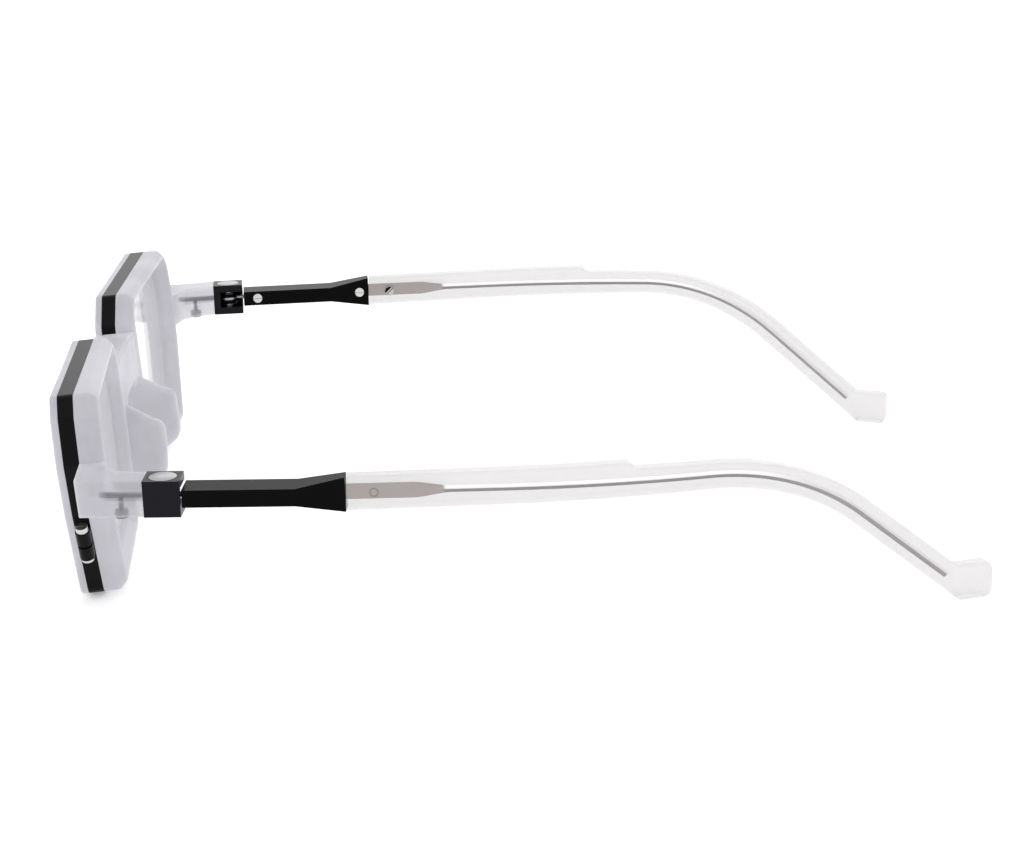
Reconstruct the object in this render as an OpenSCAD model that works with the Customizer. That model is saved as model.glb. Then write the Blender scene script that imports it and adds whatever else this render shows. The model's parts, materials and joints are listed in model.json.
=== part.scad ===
// Rectangular eyeglasses: a frosted crystal front with black hoops let into the rims,
// cube hinges, black flared arms and frosted crystal temples shot over a metal core.
// +X is the wearer's left, +Y points back along the temples, +Z is up.

/* [Front] */
// Width of the front over both rims
front_w = 116.8; // [104:0.2:132]
// Gap between the two rims where it is narrowest
nose_gap = 21; // [17:0.5:25]
// Height of a rim, in its own plane
rim_h = 36.1; // [32:0.1:41]
// How far the top of the front leans forward, in degrees
front_tilt = 5.9; // [2:0.1:9]
// How far each rim turns back round the face, in degrees
wrap = 2; // [0:0.25:4]
// Distance from the hinge axis forward to the foot of the front
front_reach = 18.15; // [16:0.1:21]

/* [Rim corners] */
// Run of the upper outer corner along the top edge
top_out_run = 4.4; // [2:0.1:8]
// Drop from the top edge to the shoulder below the outer corner
shoulder_drop = 3.2; // [2:0.1:6]
// How far the shoulder lies inside the widest point
shoulder_in = 1.5; // [0.5:0.1:3]
// Drop from the top edge to the widest point
wide_drop = 11.1; // [8:0.1:14]
// Drop from the top edge to the lower side corner
low_drop = 20; // [17:0.1:24]
// How far the lower side corner lies inside the widest point
low_in = 1.2; // [0.4:0.1:3]
// Run of the lower outer corner along the bottom edge
bottom_out_run = 6.6; // [5:0.1:10]
// Run of the lower nose corner along the bottom edge
bottom_in_run = 7; // [4:0.1:9]
// How far the jaw corner lies outside the narrowest point
jaw_in = 3; // [2:0.1:5]
// Height of the jaw corner
jaw_h = 9; // [6:0.1:12]
// Drop from the top edge to the narrowest point at the nose
nose_drop = 14; // [11:0.1:18]
// Drop from the top edge to the upper nose corner
nose_top_drop = 5; // [3:0.1:8]
// How far the upper nose corner lies outside the narrowest point
nose_top_in = 0.8; // [0.2:0.1:2]
// Run of the upper nose corner along the top edge
top_in_run = 5.9; // [3:0.1:8]
// Radius that rounds the two lower corners of a rim
bottom_r = 2.2; // [1:0.1:5]
// Radius that rounds the other corners of the hoops and of the rear layer
corner_r = 1.6; // [0.5:0.1:3]
// Radius that rounds the other corners of the front layer
front_corner_r = 3; // [1:0.1:5]

/* [Rim section] */
// Width of the rim above the lens
rim_top_t = 2.9; // [2.6:0.1:5]
// Width of the rim beside the temple
rim_side_t = 3.7; // [2.8:0.1:6]
// Width of the rim under the lens
rim_bottom_t = 3.4; // [2.8:0.1:6]
// Width of the rim beside the nose
rim_nose_t = 6; // [4:0.1:8]
// Thickness of the front layer
front_t = 1.3; // [0.9:0.1:2]
// Depth of the black hoop from front to back
hoop_w = 2.65; // [2:0.05:3.5]
// Thickness of the hoop's metal
hoop_t = 1.5; // [0.8:0.1:1.7]
// Thickness of the rear layer at the nose
rear_nose_t = 3.3; // [2.8:0.1:5]
// Thickness of the rear layer beside the temple
rear_side_t = 4.2; // [3.4:0.1:6]
// Cut along the outer edge of the rear layer
edge_cut = 1.3; // [0.6:0.1:1.6]
// Width of the slope that runs in to the lens, front and back
slope_w = 1.6; // [0.8:0.1:2]
// Depth of the lens behind the front face
lens_back = 3.6; // [2.4:0.1:3.7]
// Thickness of a lens
lens_t = 1.5; // [1:0.1:1.8]
// How deep the edge of a lens sits in its groove
lens_seat = 0.6; // [0.3:0.05:0.8]

/* [Bridge and nose wings] */
// Height of the underside of the bridge at the middle
bridge_h = 25; // [22:0.5:26]
// Height of the bridge from its underside to its top
bridge_deep = 5.4; // [4:0.2:6]
// How thick the rear part of the bridge is
bridge_t = 3.6; // [2.5:0.1:5]
// Thickness of a nose wing
wing_t = 4; // [2.4:0.1:4.5]
// How far a nose wing reaches back from the front face
wing_reach = 13.8; // [11:0.2:15]
// Height of the top of a nose wing
wing_top = 20.2; // [18:0.2:23]
// Height of the foot of a nose wing
wing_foot = 5.8; // [5:0.2:9]
// How far a nose wing turns outward towards the back, in degrees
wing_turn = 1; // [0:1:12]
// How far a nose wing leans outward towards its foot, in degrees
wing_lean = 15; // [6:1:18]

/* [Rim lock] */
// Distance from the lower side corner down to the middle of the lock
lock_drop = 5.2; // [4:0.1:8]
// Length of the two lock barrels together
lock_l = 5.5; // [3.6:0.1:6]
// Radius of the lock barrels
lock_r = 1.25; // [1:0.05:1.3]
// Distance from the hoop out to the axis of the lock screw
lock_off = 1.1; // [1.1:0.05:1.4]
// Radius of the lock screw's shank
lock_shank_r = 0.5; // [0.35:0.05:0.6]
// Radius of the lock screw's head
lock_head_r = 1.05; // [0.8:0.05:1.2]
// Height of the lock screw's head
lock_head_h = 1; // [0.5:0.1:1.2]
// Thickness of the nut under the lock
lock_nut_h = 0.5; // [0.3:0.1:0.9]
// Gap where the hoop is split
split_gap = 0.3; // [0.1:0.05:0.6]

/* [Hinge] */
// Distance from the widest point of the rim out to the hinge axis
hinge_out = 8.76; // [7.5:0.1:11]
// Height of the hinge centre above the surface the glasses stand on
hinge_h = 23.5; // [22:0.1:25]
// Width of the hinge block across the temple
block_w = 5.3; // [4.8:0.1:6]
// Length of the hinge block along the temple
block_l = 6.05; // [5.8:0.05:7]
// Height of the hinge block
block_h = 6.15; // [5.8:0.05:7.5]
// How far the arms spread outward, in degrees
splay = 4; // [1:0.5:6]
// How far the hinge axis leans outward at its top, in degrees
hinge_roll = 1.2; // [0:0.2:6]
// How far the arms climb towards the back, in degrees
hinge_pitch = 2; // [0:0.25:3]
// Radius of the hinge screw's shank
pin_r = 1.05; // [0.8:0.05:1.2]
// Radius of the hinge screw's round head
pin_head_r = 2.45; // [1.8:0.05:2.5]
// Thickness of the hinge screw's round head
pin_head_t = 0.75; // [0.5:0.05:0.9]
// Outer radius of the eye round the hinge screw
eye_r = 1.85; // [1.6:0.05:1.95]
// Height of the eye
eye_h = 2.2; // [1.6:0.1:2.6]
// Radius of the rod behind the eye
rod_r = 0.45; // [0.3:0.05:0.5]
// Where the rod ends, measured from the hinge axis
rod_end = 14.7; // [14:0.1:17]
// Radius of the anchor rod in the front
anchor_r = 0.5; // [0.35:0.05:0.6]
// Length of the anchor rod in front of the hinge block
anchor_l = 7.5; // [6:0.1:8]
// Distance from the hinge axis forward to the anchor screw
anchor_screw_at = 7.1; // [6:0.1:7.6]

/* [Arm] */
// Gap between the hinge block and the arm
arm_gap = 0.25; // [0.15:0.05:1]
// Width of the arm's bar
arm_w = 5.2; // [4.2:0.05:5.6]
// Height of the arm's bar
arm_h = 2.95; // [2.8:0.05:3.3]
// Where the bar ends and the flare starts, from the hinge axis
flare_from = 21.7; // [19.5:0.1:24]
// Where the flare ends, from the hinge axis
flare_to = 29.7; // [28.5:0.1:34]
// Width of the end of the flare
flare_w = 2.8; // [2.6:0.1:3.4]
// Height of the end of the flare
flare_h = 5.9; // [5:0.1:7]
// Distance from the hinge axis back to the spring screw
spring_screw_at = 6.2; // [5.8:0.1:7.2]
// Travel of the arm along its spring rod
pull = 0.8; // [0.4:0.1:1]

/* [Temple] */
// Distance from the hinge axis to the end of the temple
temple_l = 138.9; // [130:0.1:150]
// Thickness of the crystal temple
temple_t = 3; // [2.7:0.1:3.6]
// Height of the temple in front of its step
temple_h = 5.8; // [5:0.1:6.6]
// How far the top edge steps down
step_h = 1.1; // [0.5:0.1:1.6]
// Distance from the hinge axis to the step
step_at = 75.9; // [65:0.1:84]
// Height of the temple at the ear bend and behind it
tail_h = 4.4; // [3.8:0.1:5]
// Radius of the ear bend along the lower edge
ear_r = 37; // [30:1:45]
// Slope of the tail behind the ear, in degrees
ear_drop = 39.4; // [36:0.2:42]
// Height of the tip block
tip_h = 6.4; // [5.4:0.1:7.4]
// Length of the tip block
tip_l = 5.6; // [4.6:0.1:6.6]
// Where the temple starts to bend inward, from the hinge axis
bow_from = 54.7; // [45:0.1:65]
// Radius of the inward bend
bow_r = 157; // [130:1:190]
// Length over which the temple bends inward
bow_l = 58; // [50:1:64]

/* [Core] */
// Height of the core's plate
plate_h = 2.5; // [1.8:0.1:3]
// Thickness of the core
core_t = 0.9; // [0.6:0.1:1.1]
// Height of the core's wire
wire_h = 1.2; // [0.9:0.1:1.6]
// Where the plate starts to narrow, from the hinge axis
plate_to = 41.2; // [39:0.1:46]
// Length over which the plate narrows to the wire
plate_nose = 4.5; // [2:0.5:7]
// Gap between the end of the wire and the end of the temple
wire_short = 8.5; // [7:0.5:14]
// Distance from the hinge axis to the core screw
core_screw_at = 34.1; // [33.2:0.1:38]

/* [Small screws] */
// Radius of the heads of the screws in the arms
screw_head_r = 0.95; // [0.7:0.05:1.1]
// Height of the heads of the screws in the arms
screw_head_h = 0.6; // [0.4:0.05:0.7]
// Radius of the shanks of the screws in the arms
screw_r = 0.5; // [0.35:0.05:0.6]
// Width of a screwdriver slot
slot_w = 0.3; // [0.2:0.05:0.4]
// Depth of a screwdriver slot
slot_d = 0.3; // [0.15:0.05:0.35]

/* [Fits] */
// Gap between layers and pieces that are seated on each other
seat = 0.02; // [0.01:0.01:0.05]
// Gap round a shaft that turns or slides
run_gap = 0.05; // [0.02:0.01:0.08]
// Gap above and below an arm's bar where it swings through the hinge block
swing_gap = 0.16; // [0.12:0.01:0.25]

/* [Hidden] */

$fn = 48;
far = 60;
eps = 0.01;
corner_steps = 4;
bend_steps = 14;

half_w = front_w / 2;
nose_x = nose_gap / 2;
hoop_front = front_t;
hoop_back = front_t + hoop_w;
block_front = -block_l / 2;
arm_front = block_l / 2 + arm_gap;
hinge_x = half_w + hinge_out;

// Rim outline, anticlockwise seen from the front's own plane, starting at the lower nose corner
rim = [
    [nose_x + bottom_in_run, 0],
    [half_w - bottom_out_run, 0],
    [half_w - low_in, rim_h - low_drop],
    [half_w, rim_h - wide_drop],
    [half_w - shoulder_in, rim_h - shoulder_drop],
    [half_w - top_out_run, rim_h],
    [nose_x + top_in_run, rim_h],
    [nose_x + nose_top_in, rim_h - nose_top_drop],
    [nose_x, rim_h - nose_drop],
    [nose_x + jaw_in, jaw_h]
];
// Width of the rim along each side of that outline
rim_widths = [
    rim_bottom_t, rim_side_t, rim_side_t, rim_side_t, (rim_side_t + rim_top_t) / 2,
    rim_top_t, rim_nose_t, rim_nose_t, rim_nose_t, rim_nose_t
];

nose_cut = 1.6;

function same(value) = [for (side = rim) value];
function cross_of(a, b) = a[0] * b[1] - a[1] * b[0];
function unit(v) = v / norm(v);
// Where two sides meet once each is moved inward by its own width
function meet(p, d, wd, q, e, we) =
    let (ud = unit(d), ue = unit(e))
    let (p2 = p + wd * [-ud[1], ud[0]], q2 = q + we * [-ue[1], ue[0]])
    p2 + ud * cross_of(q2 - p2, ue) / cross_of(ud, ue);
// The outline with each side moved inward by its width
function inset(p, widths) = [
    for (i = [0:len(p) - 1])
        let (n = len(p), h = (i + n - 1) % n, j = (i + 1) % n)
        meet(p[h], p[i] - p[h], widths[h], p[i], p[j] - p[i], widths[i])
];
// One radius for each corner of a rim, larger at the two lower corners
function radii(r) = [for (i = [0:len(rim) - 1]) i < 2 ? r + bottom_r - corner_r : r];
// The outline with every corner turned into a short arc
function rounded(p, radius) = [
    for (i = [0:len(p) - 1])
        let (n = len(p), a = p[(i + n - 1) % n], b = p[i], c = p[(i + 1) % n])
        let (u = unit(a - b), v = unit(c - b), half = acos(u * v) / 2, r = radii(radius)[i])
        let (reach = min(r / tan(half), 0.45 * norm(a - b), 0.45 * norm(c - b)))
        let (rr = reach * tan(half), m = b + unit(u + v) * rr / sin(half))
        let (s = b + u * reach - m, t = b + v * reach - m)
        let (turn = 180 - 2 * half, s0 = atan2(s[1], s[0]))
        for (k = [0:corner_steps]) m + rr * [cos(s0 + turn * k / corner_steps),
            sin(s0 + turn * k / corner_steps)]
];

outline = rounded(rim, corner_r);
// The lens opening follows the rim outside the nose, and has a plain edge of its own beside it
open_nose = nose_x + rim_nose_t;
opening = concat(
    [[open_nose + jaw_in + nose_cut / 2, rim_bottom_t]],
    [for (i = [1:5]) inset(rim, rim_widths)[i]],
    [[open_nose + nose_cut, rim_h - rim_top_t], [open_nose, rim_h - rim_top_t - nose_cut],
    [open_nose, rim_h - nose_drop - nose_cut]]);
// Depth of the back face at a distance from the middle plane
function back_at(x) = hoop_back + rear_nose_t
    + (rear_side_t - rear_nose_t) * (x - nose_x) / (half_w - nose_x);

// Frames: the front leans forward and each rim wraps back; a hinge has its own frame
module front_frame() translate([0, -front_reach, 0]) rotate([front_tilt, 0, 0]) children();
module rim_frame() front_frame() rotate([0, 0, wrap]) children();
module hinge_frame()
    translate([hinge_x, 0, hinge_h])
        rotate([hinge_pitch, 0, 0])
            rotate([0, hinge_roll, 0])
                rotate([0, 0, -splay])
                    children();

// The foremost point of the front, and the middle between it and the ends of the temples
front_edge = 0.4;
foremost_y = -front_reach + (nose_x + top_in_run) * sin(wrap) * cos(front_tilt)
    - (rim_h - front_edge) * sin(front_tilt);
middle_y = (foremost_y + temple_l) / 2;
module left() translate([0, -middle_y, 0]) children();
module right() translate([0, -middle_y, 0]) mirror([1, 0, 0]) children();

// A flat plate in the rim's plane, between two depths
module plate(points, from, to)
    translate([0, to, 0]) rotate([90, 0, 0]) linear_extrude(to - from) polygon(points);
// A closed body through several outlines with equal point counts, each at its own depths
module loft(rings, depths) {
    n = len(rings[0]);
    last = len(rings) - 1;
    polyhedron(
        [for (k = [0:last]) for (i = [0:n - 1]) [rings[k][i][0], depths[k][i], rings[k][i][1]]],
        concat(
            [[for (i = [n - 1:-1:0]) i]],
            [for (k = [0:last - 1]) for (i = [0:n - 1])
                [k * n + i, k * n + (i + 1) % n, (k + 1) * n + (i + 1) % n]],
            [for (k = [0:last - 1]) for (i = [0:n - 1])
                [k * n + i, (k + 1) * n + (i + 1) % n, (k + 1) * n + i]],
            [[for (i = [0:n - 1]) last * n + i]]));
}
function flat_at(points, depth) = [for (p = points) depth];
function behind(points, shift) = [for (p = points) back_at(p[0]) + shift];

// What the lens needs: its opening, the slopes in front and behind, and its groove
module lens_cut() {
    inner = rounded(opening, corner_r);
    wide = rounded(inset(opening, same(-slope_w)), corner_r);
    wider = rounded(inset(opening, same(-2 * slope_w)), corner_r);
    slight = rounded(inset(opening, same(2 * seat)), corner_r);
    plate(inner, -lens_back, hoop_back + far / 4);
    loft([wider, slight], [flat_at(wider, -lens_back), flat_at(slight, lens_back)]);
    loft([inner, wide, wide],
        [behind(inner, -slope_w), behind(wide, eps), behind(wide, slope_w)]);
    plate(rounded(inset(opening, same(-lens_seat - run_gap)), corner_r),
        lens_back, lens_back + lens_t + 2 * seat);
}

bridge_root = nose_x + rim_nose_t / 2;
module bridge_shape() {
    top = bridge_h + bridge_deep;
    polygon([
        [-bridge_root, top - 0.8], [-nose_x / 2, top], [nose_x / 2, top],
        [bridge_root, top - 0.8], [bridge_root, bridge_h - 4], [nose_x - 1.5, bridge_h - 3],
        [nose_x - 3.5, bridge_h - 1], [nose_x - 6, bridge_h], [6 - nose_x, bridge_h],
        [3.5 - nose_x, bridge_h - 1], [1.5 - nose_x, bridge_h - 3], [-bridge_root, bridge_h - 4]]);
}
module bridge(from, to)
    front_frame() translate([0, to, 0]) rotate([90, 0, 0]) linear_extrude(to - from) bridge_shape();

module both_sides() {
    children();
    mirror([1, 0, 0]) children();
}

module front_plate() color([0.86, 0.86, 0.88, 0.8]) {
    low = rounded(rim, front_corner_r);
    high = rounded(inset(rim, same(front_edge)), front_corner_r - front_edge);
    difference() {
        union() {
            both_sides() rim_frame() loft([high, low, low],
                [flat_at(high, 0), flat_at(low, front_edge), flat_at(low, front_t)]);
            bridge(front_edge, front_t + nose_x * sin(wrap) / 2);
        }
        both_sides() rim_frame() lens_cut();
    }
}

// The endpiece's slab at the rim and its slab at the hinge block
endpiece_mid = hinge_h * cos(front_tilt) - (front_reach + block_front) * sin(front_tilt);
endpiece_out = hinge_x - 0.8;
endpiece_in = half_w + 5;
module endpiece() {
    hull() {
        hinge_frame() translate([-block_w / 2, block_front - seat - 0.4, -block_h / 2])
            cube([block_w, 0.4, block_h]);
        rim_frame() translate([endpiece_in, hoop_back + seat, endpiece_mid - block_h / 2])
            cube([endpiece_out - endpiece_in, 0.4, block_h]);
    }
    // The lug beside the rim, with the fillet that runs into the endpiece's inner side
    lug_back = back_at(half_w);
    rim_frame() translate([0, 0, endpiece_mid - block_h / 2 + 0.1]) linear_extrude(block_h - 0.2)
        polygon([
            [half_w - rim_side_t + 0.2, hoop_back + seat], [endpiece_in + 1, hoop_back + seat],
            [endpiece_in + 1.4, lug_back + 3.2], [half_w + 5.3, lug_back + 1.9],
            [half_w + 4.6, lug_back + 1], [half_w + 3.4, lug_back + 0.35],
            [half_w + 1.6, lug_back + 0.05], [half_w - 0.6, lug_back - 0.3],
            [half_w - rim_side_t + 0.2, hoop_back + 1]]);
}

// A nose wing: its side view, turned and leaned about the middle of its root
wing_mid = (wing_top + wing_foot) / 2;
module wing() {
    turn_at = [nose_x + 0.9, hoop_back + 2, wing_mid];
    translate(turn_at) rotate([0, -wing_lean, -wing_turn]) translate(-turn_at)
        translate([turn_at[0] - wing_t / 2, 0, 0]) rotate([90, 0, 90]) linear_extrude(wing_t)
            polygon([
                [hoop_back + 0.9, wing_top + 2.6], [hoop_back + 3.4, wing_top + 1.2],
                [hoop_back + 4.6, wing_top + 0.4], [wing_reach - 2.2, wing_top - 1.6],
                [wing_reach - 0.8, wing_top - 2.2], [wing_reach, wing_top - 3.2],
                [wing_reach, wing_top - 6.5], [wing_reach - 0.3, wing_foot + 3.4],
                [wing_reach - 1, wing_foot + 2], [wing_reach - 3.3, wing_foot + 0.2],
                [hoop_back + 3.4, wing_foot - 2], [hoop_back + 0.9, wing_foot - 2]]);
}

module rear_half() {
    core = rounded(inset(rim, same(hoop_t + seat)), corner_r);
    edge = rounded(inset(rim, same(edge_cut)), corner_r);
    rim_frame() {
        plate(core, front_t + seat, hoop_back + 1);
        loft([outline, outline, edge],
            [flat_at(outline, hoop_back + seat), behind(outline, -edge_cut), behind(edge, 0)]);
        wing();
    }
    endpiece();
}
module rear_body() color([0.82, 0.82, 0.84, 0.8]) difference() {
    union() {
        both_sides() rear_half();
        // The bridge stays clear of the front layer and of the hoops
        difference() {
            bridge(front_t + seat + nose_x * sin(wrap) / 2, hoop_back + bridge_t);
            both_sides() rim_frame()
                plate(rounded(inset(rim, same(-2 * seat)), corner_r), -1, hoop_back + seat);
        }
    }
    both_sides() {
        rim_frame() lens_cut();
        hinge_frame() anchor_cut();
    }
}
module anchor_cut() {
    translate([0, block_front + eps, 0]) rotate([90, 0, 0]) cylinder(h = anchor_l + seat, r = anchor_r + seat);
    translate([0, -anchor_screw_at, -anchor_head_top]) {
        translate([0, 0, -far / 4]) cylinder(h = far / 4 + seat, r = anchor_head_r + seat);
        cylinder(h = anchor_head_top, r = anchor_shank_r + seat);
    }
}

// Hoops and rim locks
module hoop() color([0.06, 0.06, 0.07]) rim_frame() difference() {
    plate(outline, hoop_front + seat / 2, hoop_back);
    plate(rounded(inset(rim, same(hoop_t)), corner_r), hoop_front - 1, hoop_back + 1);
    lock_frame() translate([-far / 8, -far / 8, -split_gap / 2]) cube([far / 4, far / 4, split_gap]);
}
lock_edge = unit(rim[2] - rim[1]);
lock_point = rim[2] - lock_edge * lock_drop;
module lock_frame()
    translate([lock_point[0], (hoop_front + hoop_back) / 2, lock_point[1]])
        rotate([0, 90 - atan2(lock_edge[1], lock_edge[0]), 0])
            children();
module lock_barrels() color([0.06, 0.06, 0.07]) rim_frame() lock_frame()
    for (side = [-1, 1]) translate([0, 0, side * (lock_l + split_gap) / 4]) difference() {
        union() {
            translate([lock_off, 0, 0]) cylinder(h = (lock_l - split_gap) / 2, r = lock_r, center = true);
            translate([lock_off / 2, 0, 0])
                cube([lock_off, 2 * lock_r, (lock_l - split_gap) / 2], center = true);
        }
        translate([lock_off, 0, 0]) cylinder(h = lock_l, r = lock_shank_r + seat, center = true);
        translate([seat - far / 4, -far / 8, -far / 8]) cube(far / 4);
    }
module slotted(head_r, head_h, shank_r, shank_l) {
    difference() {
        cylinder(h = head_h, r = head_r);
        translate([-slot_w / 2, -head_r - 1, head_h - slot_d]) cube([slot_w, 2 * head_r + 2, slot_d + 1]);
    }
    translate([0, 0, -shank_l]) cylinder(h = shank_l + eps, r = shank_r);
}
module lock_screw() color([0.82, 0.82, 0.82]) rim_frame() lock_frame()
    translate([lock_off, 0, lock_l / 2 + seat])
        slotted(lock_head_r, lock_head_h, lock_shank_r, lock_l + lock_nut_h + 3 * seat);
module lock_nut() color([0.82, 0.82, 0.82]) rim_frame() lock_frame()
    translate([lock_off, 0, -lock_l / 2 - seat - lock_nut_h]) difference() {
        cylinder(h = lock_nut_h, r = lock_head_r);
        translate([0, 0, -1]) cylinder(h = lock_nut_h + 2, r = lock_shank_r + seat);
    }

module lens() color([0.9, 0.93, 0.95, 0.3]) rim_frame()
    plate(rounded(inset(opening, same(-lens_seat)), corner_r), lens_back + seat, lens_back + seat + lens_t);

// Anchor in the front
anchor_in = 0.75;
anchor_head_r = 1.1;
anchor_head_top = 2.55;
anchor_shank_r = 0.4;
module anchor_rod() color([0.62, 0.62, 0.64]) hinge_frame()
    translate([0, block_front + anchor_in, 0])
        rotate([90, 0, 0]) cylinder(h = anchor_l + anchor_in - seat, r = anchor_r);
module anchor_screw() color([0.7, 0.7, 0.72]) hinge_frame()
    translate([0, -anchor_screw_at, -anchor_head_top]) {
        rotate([180, 0, 0]) slotted(anchor_head_r, 1.25, anchor_shank_r, anchor_head_top - anchor_r - seat);
    }

// Hinge block: solid but for the screw's bore, the eye's pocket and the slot the arm swings through
slot_h = arm_h + 2 * swing_gap;
slot_front = -1.65;
module hinge_block() color([0.1, 0.1, 0.13]) hinge_frame() difference() {
    translate([-block_w / 2, -block_l / 2, -block_h / 2]) cube([block_w, block_l, block_h]);
    translate([0, 0, block_h / 2 - pin_head_t - seat]) cylinder(h = 2, r = pin_head_r + seat);
    translate([0, 0, 0.6 - block_h / 2]) cylinder(h = block_h, r = pin_r + seat);
    translate([0, 0, -slot_h / 2]) cylinder(h = slot_h, r = eye_r + 0.25);
    translate([-block_w / 2 - 1, slot_front, -slot_h / 2]) cube([block_w / 2 + 1, block_l, slot_h]);
    translate([-block_w / 2 - 1, 0, -slot_h / 2]) cube([block_w + 1 - wall, block_l, slot_h]);
    translate([0, block_front - 1, 0])
        rotate([-90, 0, 0]) cylinder(h = 1 + anchor_in + seat, r = anchor_r + seat);
}
wall = 0.9;
module hinge_screw() color([0.85, 0.85, 0.85]) hinge_frame() {
    difference() {
        translate([0, 0, block_h / 2 - pin_head_t]) cylinder(h = pin_head_t, r = pin_head_r);
        translate([-slot_w / 2, -far / 4, block_h / 2 - slot_d / 2]) cube([slot_w, far / 2, slot_d]);
    }
    translate([0, 0, 0.65 - block_h / 2]) cylinder(h = block_h - 0.65 - pin_head_t + eps, r = pin_r);
}

// The eye turns on the hinge screw; its rod runs back into the arm
rod_head_t = 0.8;
bore_r = 1.1;
module eye_rod() color([0.8, 0.8, 0.8]) hinge_frame() difference() {
    union() {
        translate([0, 0, -eye_h / 2]) cylinder(h = eye_h, r = eye_r);
        rotate([-90, 0, 0]) cylinder(h = rod_end, r = rod_r);
        translate([0, rod_end - rod_head_t, 0]) rotate([-90, 0, 0]) cylinder(h = rod_head_t, r = bore_r - 2 * run_gap);
    }
    translate([0, 0, -eye_h]) cylinder(h = 2 * eye_h, r = pin_r + run_gap);
}
sleeve_from = arm_front + 0.2;
sleeve_to = spring_screw_at + 1.6;
module spring_sleeve() color([0.75, 0.7, 0.5]) hinge_frame() difference() {
    translate([0, sleeve_from, 0]) rotate([-90, 0, 0]) cylinder(h = sleeve_to - sleeve_from, r = bore_r - seat);
    translate([0, sleeve_from - 1, 0]) rotate([-90, 0, 0])
        cylinder(h = sleeve_to - sleeve_from + 2, r = rod_r + run_gap);
    translate([0, spring_screw_at, 0]) rotate([0, -90, 0]) cylinder(h = bore_r + 1, r = screw_r + seat);
}
spring_to = rod_end - rod_head_t - pull - 0.1;
module spring() color([0.7, 0.7, 0.72]) hinge_frame() difference() {
    translate([0, sleeve_to + seat, 0]) rotate([-90, 0, 0])
        cylinder(h = spring_to - sleeve_to - seat, r = bore_r - run_gap);
    translate([0, sleeve_to - 1, 0]) rotate([-90, 0, 0]) cylinder(h = rod_end, r = rod_r + 0.15);
}
module spring_screw() color([0.8, 0.8, 0.8]) hinge_frame()
    translate([-arm_w / 2 + screw_head_h, spring_screw_at, 0]) rotate([0, -90, 0])
        slotted(screw_head_r, screw_head_h, screw_r, arm_w / 2 - screw_head_h - rod_r - 0.2);

// Width and height of the flare at a distance from the hinge axis
function flare_part(y) = (y - flare_from) / (flare_to - flare_from);
function flare_w_at(y) = arm_w + (flare_w - arm_w) * flare_part(y);
flare_screw_at = flare_to - 1.9;
tongue_from = flare_to - 5;
module bar(w, h, from, to) translate([-w / 2, from, -h / 2]) cube([w, to - from, h]);
module arm() color([0.07, 0.07, 0.08]) difference() {
    hinge_frame() {
        bar(arm_w, arm_h, arm_front, flare_from);
        hull() {
            bar(arm_w, arm_h, flare_from - eps, flare_from);
            bar(flare_w, flare_h, flare_to - eps, flare_to);
        }
    }
    hinge_frame() {
        translate([0, arm_front - 1, 0]) rotate([-90, 0, 0])
            cylinder(h = rod_end + 0.3 - arm_front + 1, r = bore_r);
        translate([-arm_w / 2 + screw_head_h, spring_screw_at, 0]) rotate([0, -90, 0])
            cylinder(h = 2, r = screw_head_r + seat);
        translate([0, spring_screw_at, 0]) rotate([0, -90, 0])
            cylinder(h = arm_w, r = screw_r + seat);
        flare_screw_cut();
    }
    core_solid(seat);
}
flare_screw_x = flare_w_at(flare_screw_at) / 2;
module flare_screw_cut() translate([0, flare_screw_at, 0]) {
    translate([screw_head_h - flare_screw_x, 0, 0]) rotate([0, -90, 0]) cylinder(h = 2, r = screw_head_r + seat);
    translate([flare_screw_x - 0.4, 0, 0]) rotate([0, -90, 0]) cylinder(h = 2 * flare_screw_x, r = screw_r + seat);
}
module flare_screw() color([0.8, 0.8, 0.8]) hinge_frame()
    translate([screw_head_h - flare_screw_x, flare_screw_at, 0]) rotate([0, -90, 0])
        slotted(screw_head_r, screw_head_h, screw_r, 2 * flare_screw_x - screw_head_h - 0.4 - seat);

// Temple seen from above: straight, bent inward, straight again
temple_head = splay - 2;
temple_x = hinge_x + flare_to * sin(splay);
function plan_turn(y) = asin(sin(temple_head) - (min(max(y, bow_from), bow_from + bow_l) - bow_from) / bow_r);
function plan_x(y) = temple_x + tan(temple_head) * (min(y, bow_from) - flare_to)
    + (y > bow_from ? bow_r * (cos(plan_turn(y)) - cos(temple_head)) : 0)
    + (y > bow_from + bow_l ? tan(plan_turn(y)) * (y - bow_from - bow_l) : 0);
plan_y = concat([tongue_from - 3, flare_to],
    [for (k = [0:bend_steps]) bow_from + bow_l * k / bend_steps], [temple_l + 5]);
module plan_strip(t) translate([0, 0, -far / 4]) linear_extrude(far)
    polygon(concat([for (y = plan_y) [plan_x(y) + t / 2 * cos(plan_turn(y)), y - t / 2 * sin(plan_turn(y))]],
        [for (k = [len(plan_y) - 1:-1:0]) let (y = plan_y[k])
            [plan_x(y) - t / 2 * cos(plan_turn(y)), y + t / 2 * sin(plan_turn(y))]]));

// Temple seen from the side: a straight, the ear bend along the lower edge, and the tail
rise = hinge_pitch + 0.8;
start_z = hinge_h + flare_to * sin(hinge_pitch) - flare_h / 2 + 0.1;
fall = [cos(ear_drop), -sin(ear_drop)];
tail_foot = [temple_l - tip_l - 1.4, 1.2];
// The lower straight and the tail's lower edge meet here, and the bend rounds that corner
bend_at = let (d = [cos(rise), sin(rise)], p = [flare_to, start_z])
    p + d * cross_of(tail_foot - p, fall) / cross_of(d, fall);
bend_reach = ear_r * tan((rise + ear_drop) / 2);
bend_mid = bend_at - [cos(rise), sin(rise)] * bend_reach + ear_r * [sin(rise), -cos(rise)];
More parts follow.
